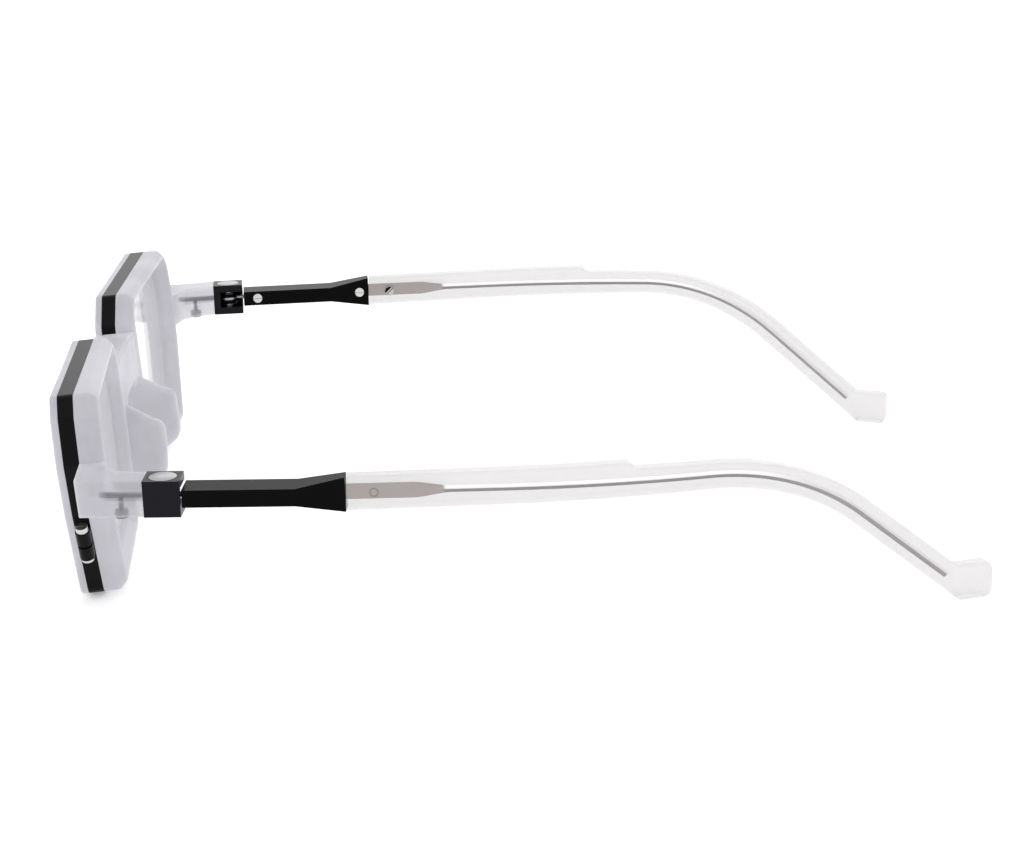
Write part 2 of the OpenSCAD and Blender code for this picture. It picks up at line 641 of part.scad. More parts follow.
// An edge or centre line at a height above the lower edge, from the flare to the tail's foot
function side_line(start, high) = concat(
    [[flare_to - start * sin(rise), start_z + start * cos(rise)]],
    [for (k = [0:bend_steps]) let (turn = rise - (rise + ear_drop) * k / bend_steps)
        bend_mid + (ear_r + high) * [-sin(turn), cos(turn)]]);
function tail_point(high, back) = tail_foot + high * [-fall[1], fall[0]] - back * fall;
function top_z(y) = start_z + tan(rise) * (y - flare_to) + temple_h;
module side_cut(points) rotate([90, 0, 90]) linear_extrude(2 * far) polygon(points);
tip_top = (tip_h - tail_foot[1] - tail_h * cos(ear_drop)) / -fall[1];
module temple_side() side_cut(concat(
    [[flare_to - 3, start_z - 3 * tan(rise)]], side_line(0, 0), [tail_foot],
    [[tail_foot[0] + 1.5, 0], [temple_l - 1.2, 0], [temple_l - 0.35, 0.35], [temple_l, 1.2],
    [temple_l, tip_h - 1.2], [temple_l - 0.35, tip_h - 0.35], [temple_l - 1.2, tip_h],
    tail_point(tail_h, tip_top)],
    [for (k = [bend_steps + 1:-1:1]) side_line(0, tail_h)[k]],
    [[step_at + 0.8, top_z(step_at) - step_h], [step_at - 0.8, top_z(step_at)],
    [flare_to - 3, top_z(flare_to - 3)]]));
core_low = (temple_h - 0.3) / 2;
core_rear = (tail_h - 0.4) / 2;
wire_to = tail_point(core_rear, wire_short - tip_l);
// The core's centre line is kept as its lower and upper edges
module core_side(grow) {
    lower = side_line(core_low - wire_h / 2 - grow, core_rear - wire_h / 2 - grow);
    upper = side_line(core_low + wire_h / 2 + grow, core_rear + wire_h / 2 + grow);
    across = (wire_h / 2 + grow) * [-fall[1], fall[0]];
    side_cut(concat(lower, [wire_to - across + grow * fall, wire_to + across + grow * fall],
        [for (k = [len(upper) - 1:-1:0]) upper[k]]));
    middle = start_z + core_low;
    half_h = plate_h / 2 + grow;
    climb = tan(hinge_pitch);
    end_y = plate_to + plate_nose;
    side_cut([
        [tongue_from - grow, middle - half_h - climb * (flare_to - tongue_from)],
        [plate_to, middle - half_h + climb * (plate_to - flare_to)],
        [end_y, middle - wire_h / 2 + climb * (end_y - flare_to)],
        [end_y, middle + wire_h / 2 + climb * (end_y - flare_to)],
        [plate_to, middle + half_h + climb * (plate_to - flare_to)],
        [tongue_from - grow, middle + half_h - climb * (flare_to - tongue_from)]]);
}
module core_solid(grow) intersection() {
    core_side(grow);
    plan_strip(core_t + 2 * grow);
}
module core_screw_frame()
    translate([plan_x(core_screw_at), core_screw_at, start_z + core_low + tan(hinge_pitch) * (core_screw_at - flare_to)])
        rotate([0, 0, -temple_head]) rotate([0, -90, 0]) children();
module core_screw() color([0.8, 0.8, 0.8]) core_screw_frame()
    translate([0, 0, temple_t / 2 - screw_head_h])
        slotted(screw_head_r + 0.1, screw_head_h, screw_r, temple_t - screw_head_h - 0.1);
module core_screw_cut() core_screw_frame() {
    translate([0, 0, temple_t / 2 - screw_head_h - seat]) cylinder(h = 3, r = screw_head_r + 0.1 + seat);
    translate([0, 0, -temple_t / 2 + 0.1 - seat]) cylinder(h = temple_t, r = screw_r + seat);
}
module core() color([0.66, 0.63, 0.61]) difference() {
    core_solid(0);
    core_screw_cut();
    hinge_frame() flare_screw_cut();
}
module temple() color([0.92, 0.92, 0.93, 0.8]) difference() {
    intersection() {
        temple_side();
        plan_strip(temple_t);
    }
    hinge_frame() translate([-far / 2, -far / 2, -far / 2]) cube([far, far / 2 + flare_to + seat, far]);
    core_solid(seat);
    core_screw_cut();
}

left() front_plate();
left() rear_body();
left() hoop();  // left_hoop
left() lock_barrels();  // left_lock_barrels
left() lock_screw();  // left_lock_screw
left() lock_nut();  // left_lock_nut
left() lens();  // left_lens
left() anchor_rod();  // left_anchor_rod
left() anchor_screw();  // left_anchor_screw
left() hinge_block();  // left_hinge_block
left() hinge_screw();  // left_hinge_screw
left() eye_rod();  // left_eye_rod
left() spring_sleeve();  // left_spring_sleeve
left() spring();  // left_spring
left() spring_screw();  // left_spring_screw
left() arm();  // left_arm
left() flare_screw();  // left_flare_screw
left() core();  // left_core
left() core_screw();  // left_core_screw
left() temple();  // left_temple
right() hoop();  // right_hoop
right() lock_barrels();  // right_lock_barrels
right() lock_screw();  // right_lock_screw
right() lock_nut();  // right_lock_nut
right() lens();  // right_lens
right() anchor_rod();  // right_anchor_rod
right() anchor_screw();  // right_anchor_screw
right() hinge_block();  // right_hinge_block
right() hinge_screw();  // right_hinge_screw
right() eye_rod();  // right_eye_rod
right() spring_sleeve();  // right_spring_sleeve
right() spring();  // right_spring
right() spring_screw();  // right_spring_screw
right() arm();  // right_arm
right() flare_screw();  // right_flare_screw
right() core();  // right_core
right() core_screw();  // right_core_screw
right() temple();  // right_temple
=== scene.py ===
# %% [markdown]
# # Rectangular eyeglasses with cube hinges
# The CAD solids are exact but sharp, and every one of them is plain. This script dresses them:
# the crystal parts get softly rounded surfaces worked out with numpy, the metal parts get fine
# bevels or are turned anew, and each finish is a small network of nodes that reads the object's
# own coordinates.

import json

import bmesh
import bpy
import numpy as np
from mathutils import Matrix, Vector

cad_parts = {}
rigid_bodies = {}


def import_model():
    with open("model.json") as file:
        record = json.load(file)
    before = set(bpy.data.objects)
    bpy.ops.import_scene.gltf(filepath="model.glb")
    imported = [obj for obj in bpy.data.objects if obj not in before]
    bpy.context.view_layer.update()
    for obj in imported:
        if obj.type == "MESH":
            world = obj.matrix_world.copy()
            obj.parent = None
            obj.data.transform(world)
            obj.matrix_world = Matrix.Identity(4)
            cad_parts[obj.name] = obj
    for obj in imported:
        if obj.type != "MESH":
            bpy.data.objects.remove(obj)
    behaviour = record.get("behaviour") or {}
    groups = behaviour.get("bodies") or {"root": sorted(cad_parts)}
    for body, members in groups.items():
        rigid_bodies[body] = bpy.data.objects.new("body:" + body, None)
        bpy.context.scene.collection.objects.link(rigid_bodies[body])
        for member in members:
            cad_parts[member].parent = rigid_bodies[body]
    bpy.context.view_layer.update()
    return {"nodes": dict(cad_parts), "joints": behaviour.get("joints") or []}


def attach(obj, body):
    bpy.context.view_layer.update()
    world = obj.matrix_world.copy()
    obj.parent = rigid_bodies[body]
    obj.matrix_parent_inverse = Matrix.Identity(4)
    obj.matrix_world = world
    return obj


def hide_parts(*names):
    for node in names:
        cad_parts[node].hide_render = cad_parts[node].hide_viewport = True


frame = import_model()
cad_nodes = frame["nodes"]
MM = 0.001
print("CAD nodes:", len(cad_nodes))

# %% [markdown]
# The shapes below repeat the sizes of the CAD source, in millimetres, because a scene can't read
# that file. Lengths along the temple count from the hinge axis, so the distance from the origin
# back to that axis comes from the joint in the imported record.

# %% Sizes
HINGE = next(j for j in frame["joints"] if j["name"] == "left_hinge")
HINGE_X, HINGE_Y, HINGE_Z = (v / MM for v in HINGE["pos_m"])
HALF_W, NOSE_X, RIM_H = 58.4, 10.5, 36.1
FRONT_REACH, FRONT_TILT, WRAP = 18.15, 5.9, 2.0
FRONT_T, HOOP_BACK, HOOP_T, SEAT = 1.3, 3.95, 1.5, 0.02
REAR_NOSE_T, REAR_SIDE_T, EDGE_CUT = 3.3, 4.2, 1.3
RIM_TOP_T, RIM_SIDE_T, RIM_BOTTOM_T, RIM_NOSE_T = 2.9, 3.7, 3.4, 6.0
SLOPE_W, SLOPE_MID, LENS_BACK = 1.6, 1.0, 3.6
BLOCK_W, BLOCK_L, BLOCK_H = 5.3, 6.05, 6.15
SPLAY, ROLL, PITCH = 4.0, 1.2, 2.0
print("front over the rims:", 2 * HALF_W, "by", RIM_H, "mm")


# %% [markdown]
# Three small frames carry every piece to its place: the front leans forward, each rim wraps back
# from it, and a hinge leans with its arm. Each is a 4 by 4 matrix that acts on rows of points.

# %% Frames
def turn(axis, degrees):
    """A 4 by 4 matrix that turns about X, Y or Z."""
    return np.array(Matrix.Rotation(np.radians(degrees), 4, axis))


def shift(x, y, z):
    """A 4 by 4 matrix that moves by x, y and z."""
    return np.array(Matrix.Translation((x, y, z)))


def carry(matrix, points):
    """matrix times each point: p' = M p, for an array whose last axis is x, y, z."""
    return points @ matrix[:3, :3].T + matrix[:3, 3]


FRONT_FRAME = shift(0, HINGE_Y - FRONT_REACH, 0) @ turn("X", FRONT_TILT)
RIM_FRAME = FRONT_FRAME @ turn("Z", WRAP)
HINGE_FRAME = (
    shift(HINGE_X, HINGE_Y, HINGE_Z) @ turn("X", PITCH) @ turn("Y", ROLL) @ turn("Z", -SPLAY)
)
print("hinge axis at", round(HINGE_X, 2), round(HINGE_Y, 2), round(HINGE_Z, 2))


# %% [markdown]
# A rim is a ten-sided outline with rounded corners, and its lens opening is a nine-sided one. To
# carry a profile round both, they are cut by the same rays from the middle of the lens: each ray
# meets each outline once, so a point of one always has its partner on the other.

# %% Outlines
def inset(points, widths):
    """Moves every side inward by its width. A corner c goes to the point x with
    n1.(x - c) = w1 and n2.(x - c) = w2, where n1 and n2 are the inward normals of its sides."""
    side = np.roll(points, -1, axis=0) - points
    side /= np.linalg.norm(side, axis=1)[:, None]
    n2 = np.stack([-side[:, 1], side[:, 0]], axis=1)
    n1 = np.roll(n2, 1, axis=0)
    w2 = np.broadcast_to(widths, len(points)).astype(float)
    w1 = np.roll(w2, 1)
    across = n1[:, 0] * n2[:, 1] - n1[:, 1] * n2[:, 0]
    move = np.stack([w1 * n2[:, 1] - w2 * n1[:, 1], w2 * n1[:, 0] - w1 * n2[:, 0]], axis=1)
    return points + move / across[:, None]


def rounded(points, radii, steps=8):
    """Turns every corner into an arc. Its centre lies on the bisector, r / sin(half angle) from the
    corner, and the sign of u x v says which way round it goes, so that inner corners work too."""
    radii = np.broadcast_to(radii, len(points)).astype(float)
    back = np.roll(points, 1, axis=0) - points
    ahead = np.roll(points, -1, axis=0) - points
    back_l, ahead_l = np.linalg.norm(back, axis=1), np.linalg.norm(ahead, axis=1)
    u, v = back / back_l[:, None], ahead / ahead_l[:, None]
    half = np.arccos(np.clip((u * v).sum(1), -1, 1)) / 2
    reach = np.minimum(radii / np.tan(half), 0.45 * np.minimum(back_l, ahead_l))
    radius = reach * np.tan(half)
    bisector = (u + v) / np.linalg.norm(u + v, axis=1)[:, None]
    middle = points + bisector * (radius / np.sin(half))[:, None]
    first = points + u * reach[:, None] - middle
    angle = np.arctan2(first[:, 1], first[:, 0])[:, None]
    sweep = np.sign(u[:, 1] * v[:, 0] - u[:, 0] * v[:, 1]) * (np.pi - 2 * half)
    angle = angle + sweep[:, None] * np.linspace(0, 1, steps + 1)
    spoke = np.stack([np.cos(angle), np.sin(angle)], axis=2)
    return (middle[:, None] + radius[:, None, None] * spoke).reshape(-1, 2)


def on_rays(points, rays, middle):
    """Where each ray from the middle meets a closed outline: the ray at angle a meets the side
    from p along d at the distance (p x d) / (ray x d)."""
    p = points - middle
    start = np.arctan2(p[:, 1], p[:, 0])
    order = np.argsort(start)
    p, start = p[order], start[order]
    d = np.roll(p, -1, axis=0) - p
    at = np.searchsorted(start, rays, side="right") - 1
    p, d = p[at], d[at]
    ray = np.stack([np.cos(rays), np.sin(rays)], axis=1)
    p_cross_d = p[:, 0] * d[:, 1] - p[:, 1] * d[:, 0]
    ray_cross_d = ray[:, 0] * d[:, 1] - ray[:, 1] * d[:, 0]
    return middle + ray * (p_cross_d / ray_cross_d)[:, None]


RIM = np.array([
    [17.5, 0], [51.8, 0], [57.2, 16.1], [58.4, 25], [56.9, 32.9],
    [54, 36.1], [16.4, 36.1], [11.3, 31.1], [10.5, 22.1], [13.5, 9],
])
RIM_WIDTHS = np.array([
    RIM_BOTTOM_T, RIM_SIDE_T, RIM_SIDE_T, RIM_SIDE_T, (RIM_SIDE_T + RIM_TOP_T) / 2,
    RIM_TOP_T, RIM_NOSE_T, RIM_NOSE_T, RIM_NOSE_T, RIM_NOSE_T,
])
OPEN_NOSE, OPEN_SLANT, OPEN_CUT, OPEN_BEND_Z = NOSE_X + RIM_NOSE_T, 3.8, 1.6, 20.5
OPENING = np.vstack([
    [[OPEN_NOSE + OPEN_SLANT, RIM_BOTTOM_T]],
    inset(RIM, RIM_WIDTHS)[1:6],
    [[OPEN_NOSE + OPEN_CUT, RIM_H - RIM_TOP_T], [OPEN_NOSE, RIM_H - RIM_TOP_T - OPEN_CUT]],
    [[OPEN_NOSE, OPEN_BEND_Z]],
])
FOOT_R, CORNER_R = 2.2, 1.6
RIM_R = np.array([FOOT_R] * 2 + [CORNER_R] * 8)
OPENING_R = np.array([FOOT_R] * 2 + [CORNER_R] * 7)
LENS_MIDDLE = np.array([36.0, 18.0])
print("lens opening:", (OPENING.max(0) - OPENING.min(0)).round(1), "mm")

# %% [markdown]
# The rays go through every point of both rounded outlines, so no corner is lost, and an even spread
# fills the straight sides. They stop just short of half a turn, where the angle jumps.

# %% Rays
NEAR_HALF_TURN, EVEN_RAYS, LEAST_ANGLE = 3.14, 90, 0.004


def corner_rays():
    """All angles in rising order, without those that nearly repeat the one before."""
    both = np.vstack([rounded(RIM, RIM_R), rounded(OPENING, OPENING_R)]) - LENS_MIDDLE
    even = np.linspace(-NEAR_HALF_TURN, NEAR_HALF_TURN, EVEN_RAYS)
    rays = np.sort(np.concatenate([np.arctan2(both[:, 1], both[:, 0]), even]))
    return rays[np.concatenate([[True], np.diff(rays) > LEAST_ANGLE])]


RAYS = corner_rays()
print("rays round a rim:", len(RAYS))


def at_depth(outline, depth):
    """Turns (x, height) into (x, depth, height); the depth is a number or one per point."""
    depth = np.broadcast_to(depth, len(outline))
    return np.stack([outline[:, 0], depth, outline[:, 1]], axis=1)


def rim_row(out, depth):
    """The rim's outline moved inward, at a depth behind the front face, on the common rays."""
    return at_depth(on_rays(rounded(inset(RIM, out), RIM_R), RAYS, LENS_MIDDLE), depth)


def opening_row(out, depth):
    """The opening's outline moved outward, at a depth behind the front face, on the same rays."""
    return at_depth(on_rays(rounded(inset(OPENING, -out), OPENING_R), RAYS, LENS_MIDDLE), depth)


def back_at(x):
    """Depth of the rear face, which thickens evenly from the nose to the temple."""
    share = (x - NOSE_X) / (HALF_W - NOSE_X)
    return HOOP_BACK + REAR_NOSE_T + (REAR_SIDE_T - REAR_NOSE_T) * share


# %% [markdown]
# Real acetate leaves the tumbling drum without one sharp edge. A profile is therefore a stack of
# rows, and each row that stands for an edge is replaced by a few rows on a small curve. A Bevel
# modifier could do it too, but it stumbles where a rim's short sides meet. Whole rows at once keep
# an edge equally soft all the way round.

# %% Surfaces from rows
def soften(rows, radii, steps=5, closed=True):
    """Replaces the row c by points on the quadratic curve from s over c to e, where s and e lie
    a radius away from c towards the rows before and after it: (1-t)^2 s + 2t(1-t) c + t^2 e."""
    rows = np.asarray(rows, float)
    t = np.linspace(0, 1, steps)[:, None, None]
    out = []
    for k, radius in enumerate(radii):
        c = rows[k]
        if radius == 0 or (not closed and k in (0, len(rows) - 1)):
            out.append(c[None])
            continue
        before, after = rows[k - 1] - c, rows[(k + 1) % len(rows)] - c
        s = c + before * part_of(before, radius)
        e = c + after * part_of(after, radius)
        out.append((1 - t) ** 2 * s + 2 * t * (1 - t) * c + t**2 * e)
    return np.concatenate(out)


def part_of(way, radius):
    """How much of each way a radius is, and never more than half."""
    return np.minimum(0.5, radius / np.maximum(np.linalg.norm(way, axis=1), 1e-6))[:, None]


def section(corners, radius, steps):
    """A closed section: each corner is replaced by a quadratic curve, as in soften()."""
    ring = np.asarray(corners)[:, None, :]
    return soften(ring, [radius] * len(ring), steps).reshape(-1, 3)


def surface(name, grid, matrix, wrap_rows=False, caps=True):
    """A mesh from a grid of points: row r, column c joins r+1, c+1. Columns always wrap; rows wrap
    for a closed ring, and otherwise each end row is closed with one flat face."""
    rows, cols = grid.shape[:2]
    r = np.arange(rows if wrap_rows else rows - 1)[:, None]
    c = np.arange(cols)[None, :]
    r2, c2 = (r + 1) % rows, (c + 1) % cols
    corners = (r * cols + c, r * cols + c2, r2 * cols + c2, r2 * cols + c)
    faces = np.stack(np.broadcast_arrays(*corners), -1).reshape(-1, 4).tolist()
    if caps and not wrap_rows:
        faces += [list(range(cols))[::-1], [(rows - 1) * cols + k for k in range(cols)]]
    mesh = bpy.data.meshes.new(name)
    mesh.from_pydata((carry(matrix, grid.reshape(-1, 3)) * MM).tolist(), [], faces)
    return tidied(name, mesh)


def tidied(name, mesh):
    """Merges doubled points, turns every face outwards, and links the mesh as a new object."""
    work = bmesh.new()
    work.from_mesh(mesh)
    bmesh.ops.remove_doubles(work, verts=work.verts, dist=2e-7)
    bmesh.ops.dissolve_degenerate(work, dist=1e-7, edges=work.edges)
    bmesh.ops.recalc_face_normals(work, faces=work.faces)
    work.to_mesh(mesh)
    work.free()
    piece = bpy.data.objects.new(name, mesh)
    bpy.context.scene.collection.objects.link(piece)
    return piece


def mirrored(piece, name):
    """A copy of a piece on the other side of the middle plane, with its faces turned outwards."""
    mesh = piece.data.copy()
    mesh.transform(Matrix.Scale(-1, 4, (1, 0, 0)))
    return tidied(name, mesh)


# %% [markdown]
# Pieces that are one skin in life are joined with the exact boolean solver, which is slower than
# the others but leaves no seam. Smooth faces with weighted normals then keep the flats flat.

# %% Joining and shading
def boolean(piece, others, how):
    """Joins or cuts solids for good with the exact solver, then drops the tools."""
    tools = bpy.data.collections.new("tools")
    for other in others:
        tools.objects.link(other)
    step = piece.modifiers.new("boolean", "BOOLEAN")
    step.operation, step.solver = how, "EXACT"
    step.operand_type, step.collection = "COLLECTION", tools
    posed = piece.evaluated_get(bpy.context.evaluated_depsgraph_get())
    ready = bpy.data.meshes.new_from_object(posed)
    piece.modifiers.clear()
    piece.data = ready
    for other in others:
        bpy.data.objects.remove(other)
    bpy.data.collections.remove(tools)
    return piece


def shade(piece, degrees=30):
    """Smooth faces with hard breaks above an angle, and normals weighted by the faces' size."""
    piece.data.shade_smooth()
    piece.data.set_sharp_from_angle(angle=np.radians(degrees))
    piece.modifiers.new("weighted", "WEIGHTED_NORMAL").keep_sharp = True
    return piece


# %% [markdown]
# ## The front
# The front layer is one closed ring for each rim: up the outer edge, over the face, down the
# slope to the lens and back along the joint with the rear body. A bridge joins the two rings.
# Seen from the front it is a low arch; behind, it is a deeper saddle whose flanks run down into
# the nose wings.

# %% Front layer
BRIDGE = np.array([
    [-13.5, 29.6], [-5.25, 30.4], [5.25, 30.4], [13.5, 29.6], [13.5, 21], [9, 22],
    [7, 24], [4.5, 25], [-4.5, 25], [-7, 24], [-9, 22], [-13.5, 21],
])[::-1]
SADDLE = np.array([
    [-13.2, 29.6], [-5.25, 30.4], [5.25, 30.4], [13.2, 29.6], [13.2, 13.5], [9.5, 13.5],
    [7.9, 19.3], [4.9, 21.6], [-4.9, 21.6], [-7.9, 19.3], [-9.5, 13.5], [-13.2, 13.5],
])[::-1]
ARCH_R = 1.5


def front_ring():
    """Rows of the front layer: outer edge, front face, slope to the lens, joint."""
    rows = [
        rim_row(0, FRONT_T), rim_row(0, 0),
        opening_row(SLOPE_W, 0), opening_row(SLOPE_MID, FRONT_T),
    ]
    radii = [0.06, 0.55, 0.35, 0.06]
    return surface("front_ring", soften(rows, radii), RIM_FRAME, wrap_rows=True)


def bridge(name, points, near, far, edge):
    """A slab with an outline between two depths. Each rim of it is a curve from the outline to the
    same outline moved inward by twice the edge."""
    outline = rounded(points, ARCH_R, 6)
    inner = rounded(inset(points, 2 * edge), ARCH_R, 6)
    rows = [
        at_depth(inner, near), at_depth(outline, near),
        at_depth(outline, far), at_depth(inner, far),
    ]
    return surface(name, soften(rows, [0, edge, edge, 0], closed=False), FRONT_FRAME)


front_plate = front_ring()
other_ring = mirrored(front_plate, "front_ring_right")
front_bridge = bridge("front_bridge", BRIDGE, near=0.35, far=1.48, edge=0.4)
boolean(front_plate, [other_ring, front_bridge], "UNION")
front_plate.name = "front_layer"
print("front layer:", len(front_plate.data.polygons), "faces")

# %% [markdown]
# The rear body is where the thickness is. Its ring sits behind the hoop and fills it, and the
# bridge, the nose wings and the end pieces grow out of it, so all of them are joined into one skin.
# First the ring, by the same rows as the front layer.

# %% Rear ring
def rear_ring():
    """Rows of the rear body's ring: outer edge, its cut, back face, slope in, wall, slope out."""
    outer, cut = rim_row(0, 0), rim_row(EDGE_CUT, 0)
    slope, wall = opening_row(SLOPE_W, 0), opening_row(0, 0)
    outer[:, 1] = back_at(outer[:, 0]) - EDGE_CUT
    cut[:, 1] = back_at(cut[:, 0])
    slope[:, 1] = back_at(slope[:, 0])
    wall[:, 1] = back_at(wall[:, 0]) - SLOPE_W
    rows = [
        rim_row(0, HOOP_BACK + SEAT), outer, cut, slope, wall, opening_row(0, LENS_BACK),
        opening_row(SLOPE_MID, FRONT_T + SEAT), rim_row(HOOP_T + SEAT, FRONT_T + SEAT),
        rim_row(HOOP_T + SEAT, HOOP_BACK + SEAT),
    ]
    radii = [0.12, 0.6, 0.6, 0.6, 0.5, 0.3, 0.06, 0, 0]
    return surface("rear_ring", soften(rows, radii), RIM_FRAME, wrap_rows=True)


rear_body = rear_ring()
print("rear ring:", len(rear_body.data.polygons), "faces")

# %% [markdown]
# A nose wing rests on the side of the nose, so it is a pad with a very soft border that leans
# outward at its foot. Its side view is an outline, and rows drawn to its middle close both faces.

# %% Nose wings
WING_T, WING_TOP, WING_FOOT, WING_TURN, WING_LEAN = 4.0, 20.2, 5.8, 1.0, 15.0
WING_CORNER_R, WING_EDGE_R, WING_POINTS = 1.2, 1.7, 120
WING_MIDDLE = np.array([9.0, 13.0])
WING_ROOT = np.array([NOSE_X + 0.9, HOOP_BACK + 2, (WING_TOP + WING_FOOT) / 2])
WING = np.array([
    [4.85, WING_TOP + 2.6], [7.35, WING_TOP + 1.2], [8.55, WING_TOP + 0.4], [11.6, WING_TOP - 1.6],
    [13.0, WING_TOP - 2.2], [13.8, WING_TOP - 3.2], [13.8, WING_TOP - 6.5], [13.5, WING_FOOT + 3.4],
    [12.8, WING_FOOT + 2], [10.5, WING_FOOT + 0.2], [7.35, WING_FOOT - 2], [4.85, WING_FOOT - 2],
])[::-1]


def wing():
    """A slab with the wing's side view as outline, rounded like a pad, turned and leaned."""
    rays = np.linspace(-NEAR_HALF_TURN, NEAR_HALF_TURN, WING_POINTS)
    outline = on_rays(rounded(WING, WING_CORNER_R, 6), rays, WING_MIDDLE)

    def side(x, scale):
        """The outline at the distance x, drawn towards its middle by a scale."""
        flat = WING_MIDDLE + (outline - WING_MIDDLE) * scale
        return np.stack([np.full(len(flat), x), flat[:, 0], flat[:, 1]], axis=1)

    half = WING_T / 2
    rows = soften(
        [side(-half, 0), side(-half, 1), side(half, 1), side(half, 0)],
        [0, WING_EDGE_R, WING_EDGE_R, 0], 7, closed=False,
    )
    place = shift(*WING_ROOT) @ turn("Y", -WING_LEAN) @ turn("Z", -WING_TURN)
    place = place @ shift(0, -WING_ROOT[1], -WING_ROOT[2])
    return surface("wing", rows, RIM_FRAME @ place, caps=False)


left_wing = wing()
print("wing:", len(left_wing.data.polygons), "faces")

# %% [markdown]
# An end piece reaches back from the rim to the hinge block. On the inner side it leaves the rim in
# a wide fillet and narrows to the block's own width, so it is lofted: one rounded rectangle after
# another, whose corners slide from the rim's four to the block's four.

# %% End pieces
END_X, END_OUTER, END_FOOT_UP, END_TOP_UP, END_EDGE_R = 57.0, 68.0, 0.25, 0.5, 0.55
FILLET_SHARE = [0, 0.355, 0.385, 0.41, 0.467, 0.548, 0.665, 1.0]
FILLET_X = [END_X, END_X, 59.6, 61.0, 62.2, 63.1, 63.7]


def end_piece():
    """A loft of rounded rectangles from the rim to the hinge block. The share s runs from 0 to 1:
    the outer side is straight, and the inner side follows the fillet, evened out over five rows."""
    tilt = np.radians(FRONT_TILT)
    middle = HINGE_Z * np.cos(tilt) - (FRONT_REACH - BLOCK_L / 2) * np.sin(tilt)
    low, high = middle - BLOCK_H / 2 + END_FOOT_UP, middle + BLOCK_H / 2 + END_TOP_UP
    at_rim = np.array([[END_X, low], [END_OUTER, low], [END_OUTER, high], [END_X, high]])
    at_rim = at_depth(at_rim, HOOP_BACK + SEAT)
    y, x, z = -BLOCK_L / 2 - SEAT, BLOCK_W / 2, BLOCK_H / 2
    at_block = np.array([[-x, y, -z], [x, y, -z], [x, y, z], [-x, y, z]])
    at_block = carry(np.linalg.inv(RIM_FRAME), carry(HINGE_FRAME, at_block))
    s = np.linspace(0, 1, 56)[:, None, None]
    corners = at_rim + (at_block - at_rim) * s
    inner = np.interp(s[:, 0, 0], FILLET_SHARE, FILLET_X + [at_block[0, 0]])
    inner = np.convolve(np.pad(inner, 2, mode="edge"), np.ones(5) / 5, mode="valid")
    inner[-1] = at_block[0, 0]
    corners[:, 0, 0] = inner
    corners[:, 3, 0] = inner - at_block[0, 0] + at_block[3, 0]
    rows = [section(c, END_EDGE_R, 6) for c in corners]
    return surface("end_piece", np.array(rows), RIM_FRAME)


left_end = end_piece()
print("end piece:", len(left_end.data.polygons), "faces")

# %% [markdown]
# The saddle would run into the channel that holds the hoop, so a plate with each rim's outline is
# cut out of it first. Then one union makes a single skin of both rings, wings and end pieces and
# the saddle. Pieces that only overlap would show their hidden walls through the milky plastic.

# %% Rear body
SLAB_GROW = 0.04


def rim_slab():
    """A plain plate with the rim's outline, grown a little, from before the front to the channel's
    rear wall."""
    grid = np.array([rim_row(-SLAB_GROW, -1), rim_row(-SLAB_GROW, HOOP_BACK + SEAT)])
    return surface("rim_slab", grid, RIM_FRAME)


rear_bridge = bridge("rear_bridge", SADDLE, near=1.5, far=7.6, edge=0.8)
slab = rim_slab()
boolean(rear_bridge, [slab, mirrored(slab, "slab_right")], "DIFFERENCE")
parts = [left_wing, left_end]
parts += [mirrored(p, p.name + "_right") for p in [rear_body] + parts]
boolean(rear_body, parts + [rear_bridge], "UNION")
rear_body.name = "rear_crystal"
print("rear body:", len(rear_body.data.polygons), "faces")

# %% [markdown]
# ## The temples
# A temple is a rounded rectangle carried along the temple. Its height runs between two edges that
# are drawn in the side view, and its middle follows the inward bend that shows from above. A curve
# with a bevel could carry the section too, but its height couldn't change at the step and the tip.

# %% Temple lines
TEMPLE_L, TEMPLE_T, TEMPLE_H, TEMPLE_EDGE_R = 138.9, 3.0, 5.8, 0.55
STEP_H, STEP_AT, STEP_HALF = 1.1, 75.9, 0.8
TAIL_H, EAR_R, EAR_DROP, TIP_H, TIP_L, FOOT_L, FOOT_UP = 4.4, 37.0, 39.4, 6.4, 5.6, 1.4, 1.2
BOW_FROM, BOW_R, BOW_L, FLARE_TO, FLARE_H = 54.7, 157.0, 58.0, 29.7, 5.9
RISE, HEAD = PITCH + 0.8, SPLAY - 2
START_Z = HINGE_Z + FLARE_TO * np.sin(np.radians(PITCH)) - FLARE_H / 2 + 0.1
# The round at the tip's end: distance from the end, and distance in from the upper or lower edge
TIP_ROUND = np.array([[2.5, 0], [1.2, 0], [0.7, 0.12], [0.35, 0.35], [0.12, 0.7], [0, 1.3]])


def plan_turn(y):
    """Heading of the temple seen from above: its sine falls evenly over the bend."""
    along = np.clip(y, BOW_FROM, BOW_FROM + BOW_L) - BOW_FROM
    return np.arcsin(np.sin(np.radians(HEAD)) - along / BOW_R)


def plan_x(y):
    """Distance of the temple's middle from the middle plane, for a distance from the hinge."""
    head = np.radians(HEAD)
    start = HINGE_X + FLARE_TO * np.sin(np.radians(SPLAY))
    x = start + np.tan(head) * (np.minimum(y, BOW_FROM) - FLARE_TO)
    x += np.where(y > BOW_FROM, BOW_R * (np.cos(plan_turn(y)) - np.cos(head)), 0)
    return x + np.where(y > BOW_FROM + BOW_L, np.tan(plan_turn(y)) * (y - BOW_FROM - BOW_L), 0)


def across(edge, width):
    """Points of an edge moved half a width to one side of the temple's middle, at right angles to
    its heading seen from above."""
    angle = plan_turn(edge[:, 0])
    x = plan_x(edge[:, 0]) + width / 2 * np.cos(angle)
    return np.stack([x, edge[:, 0] - width / 2 * np.sin(angle) + HINGE_Y, edge[:, 1]], axis=1)


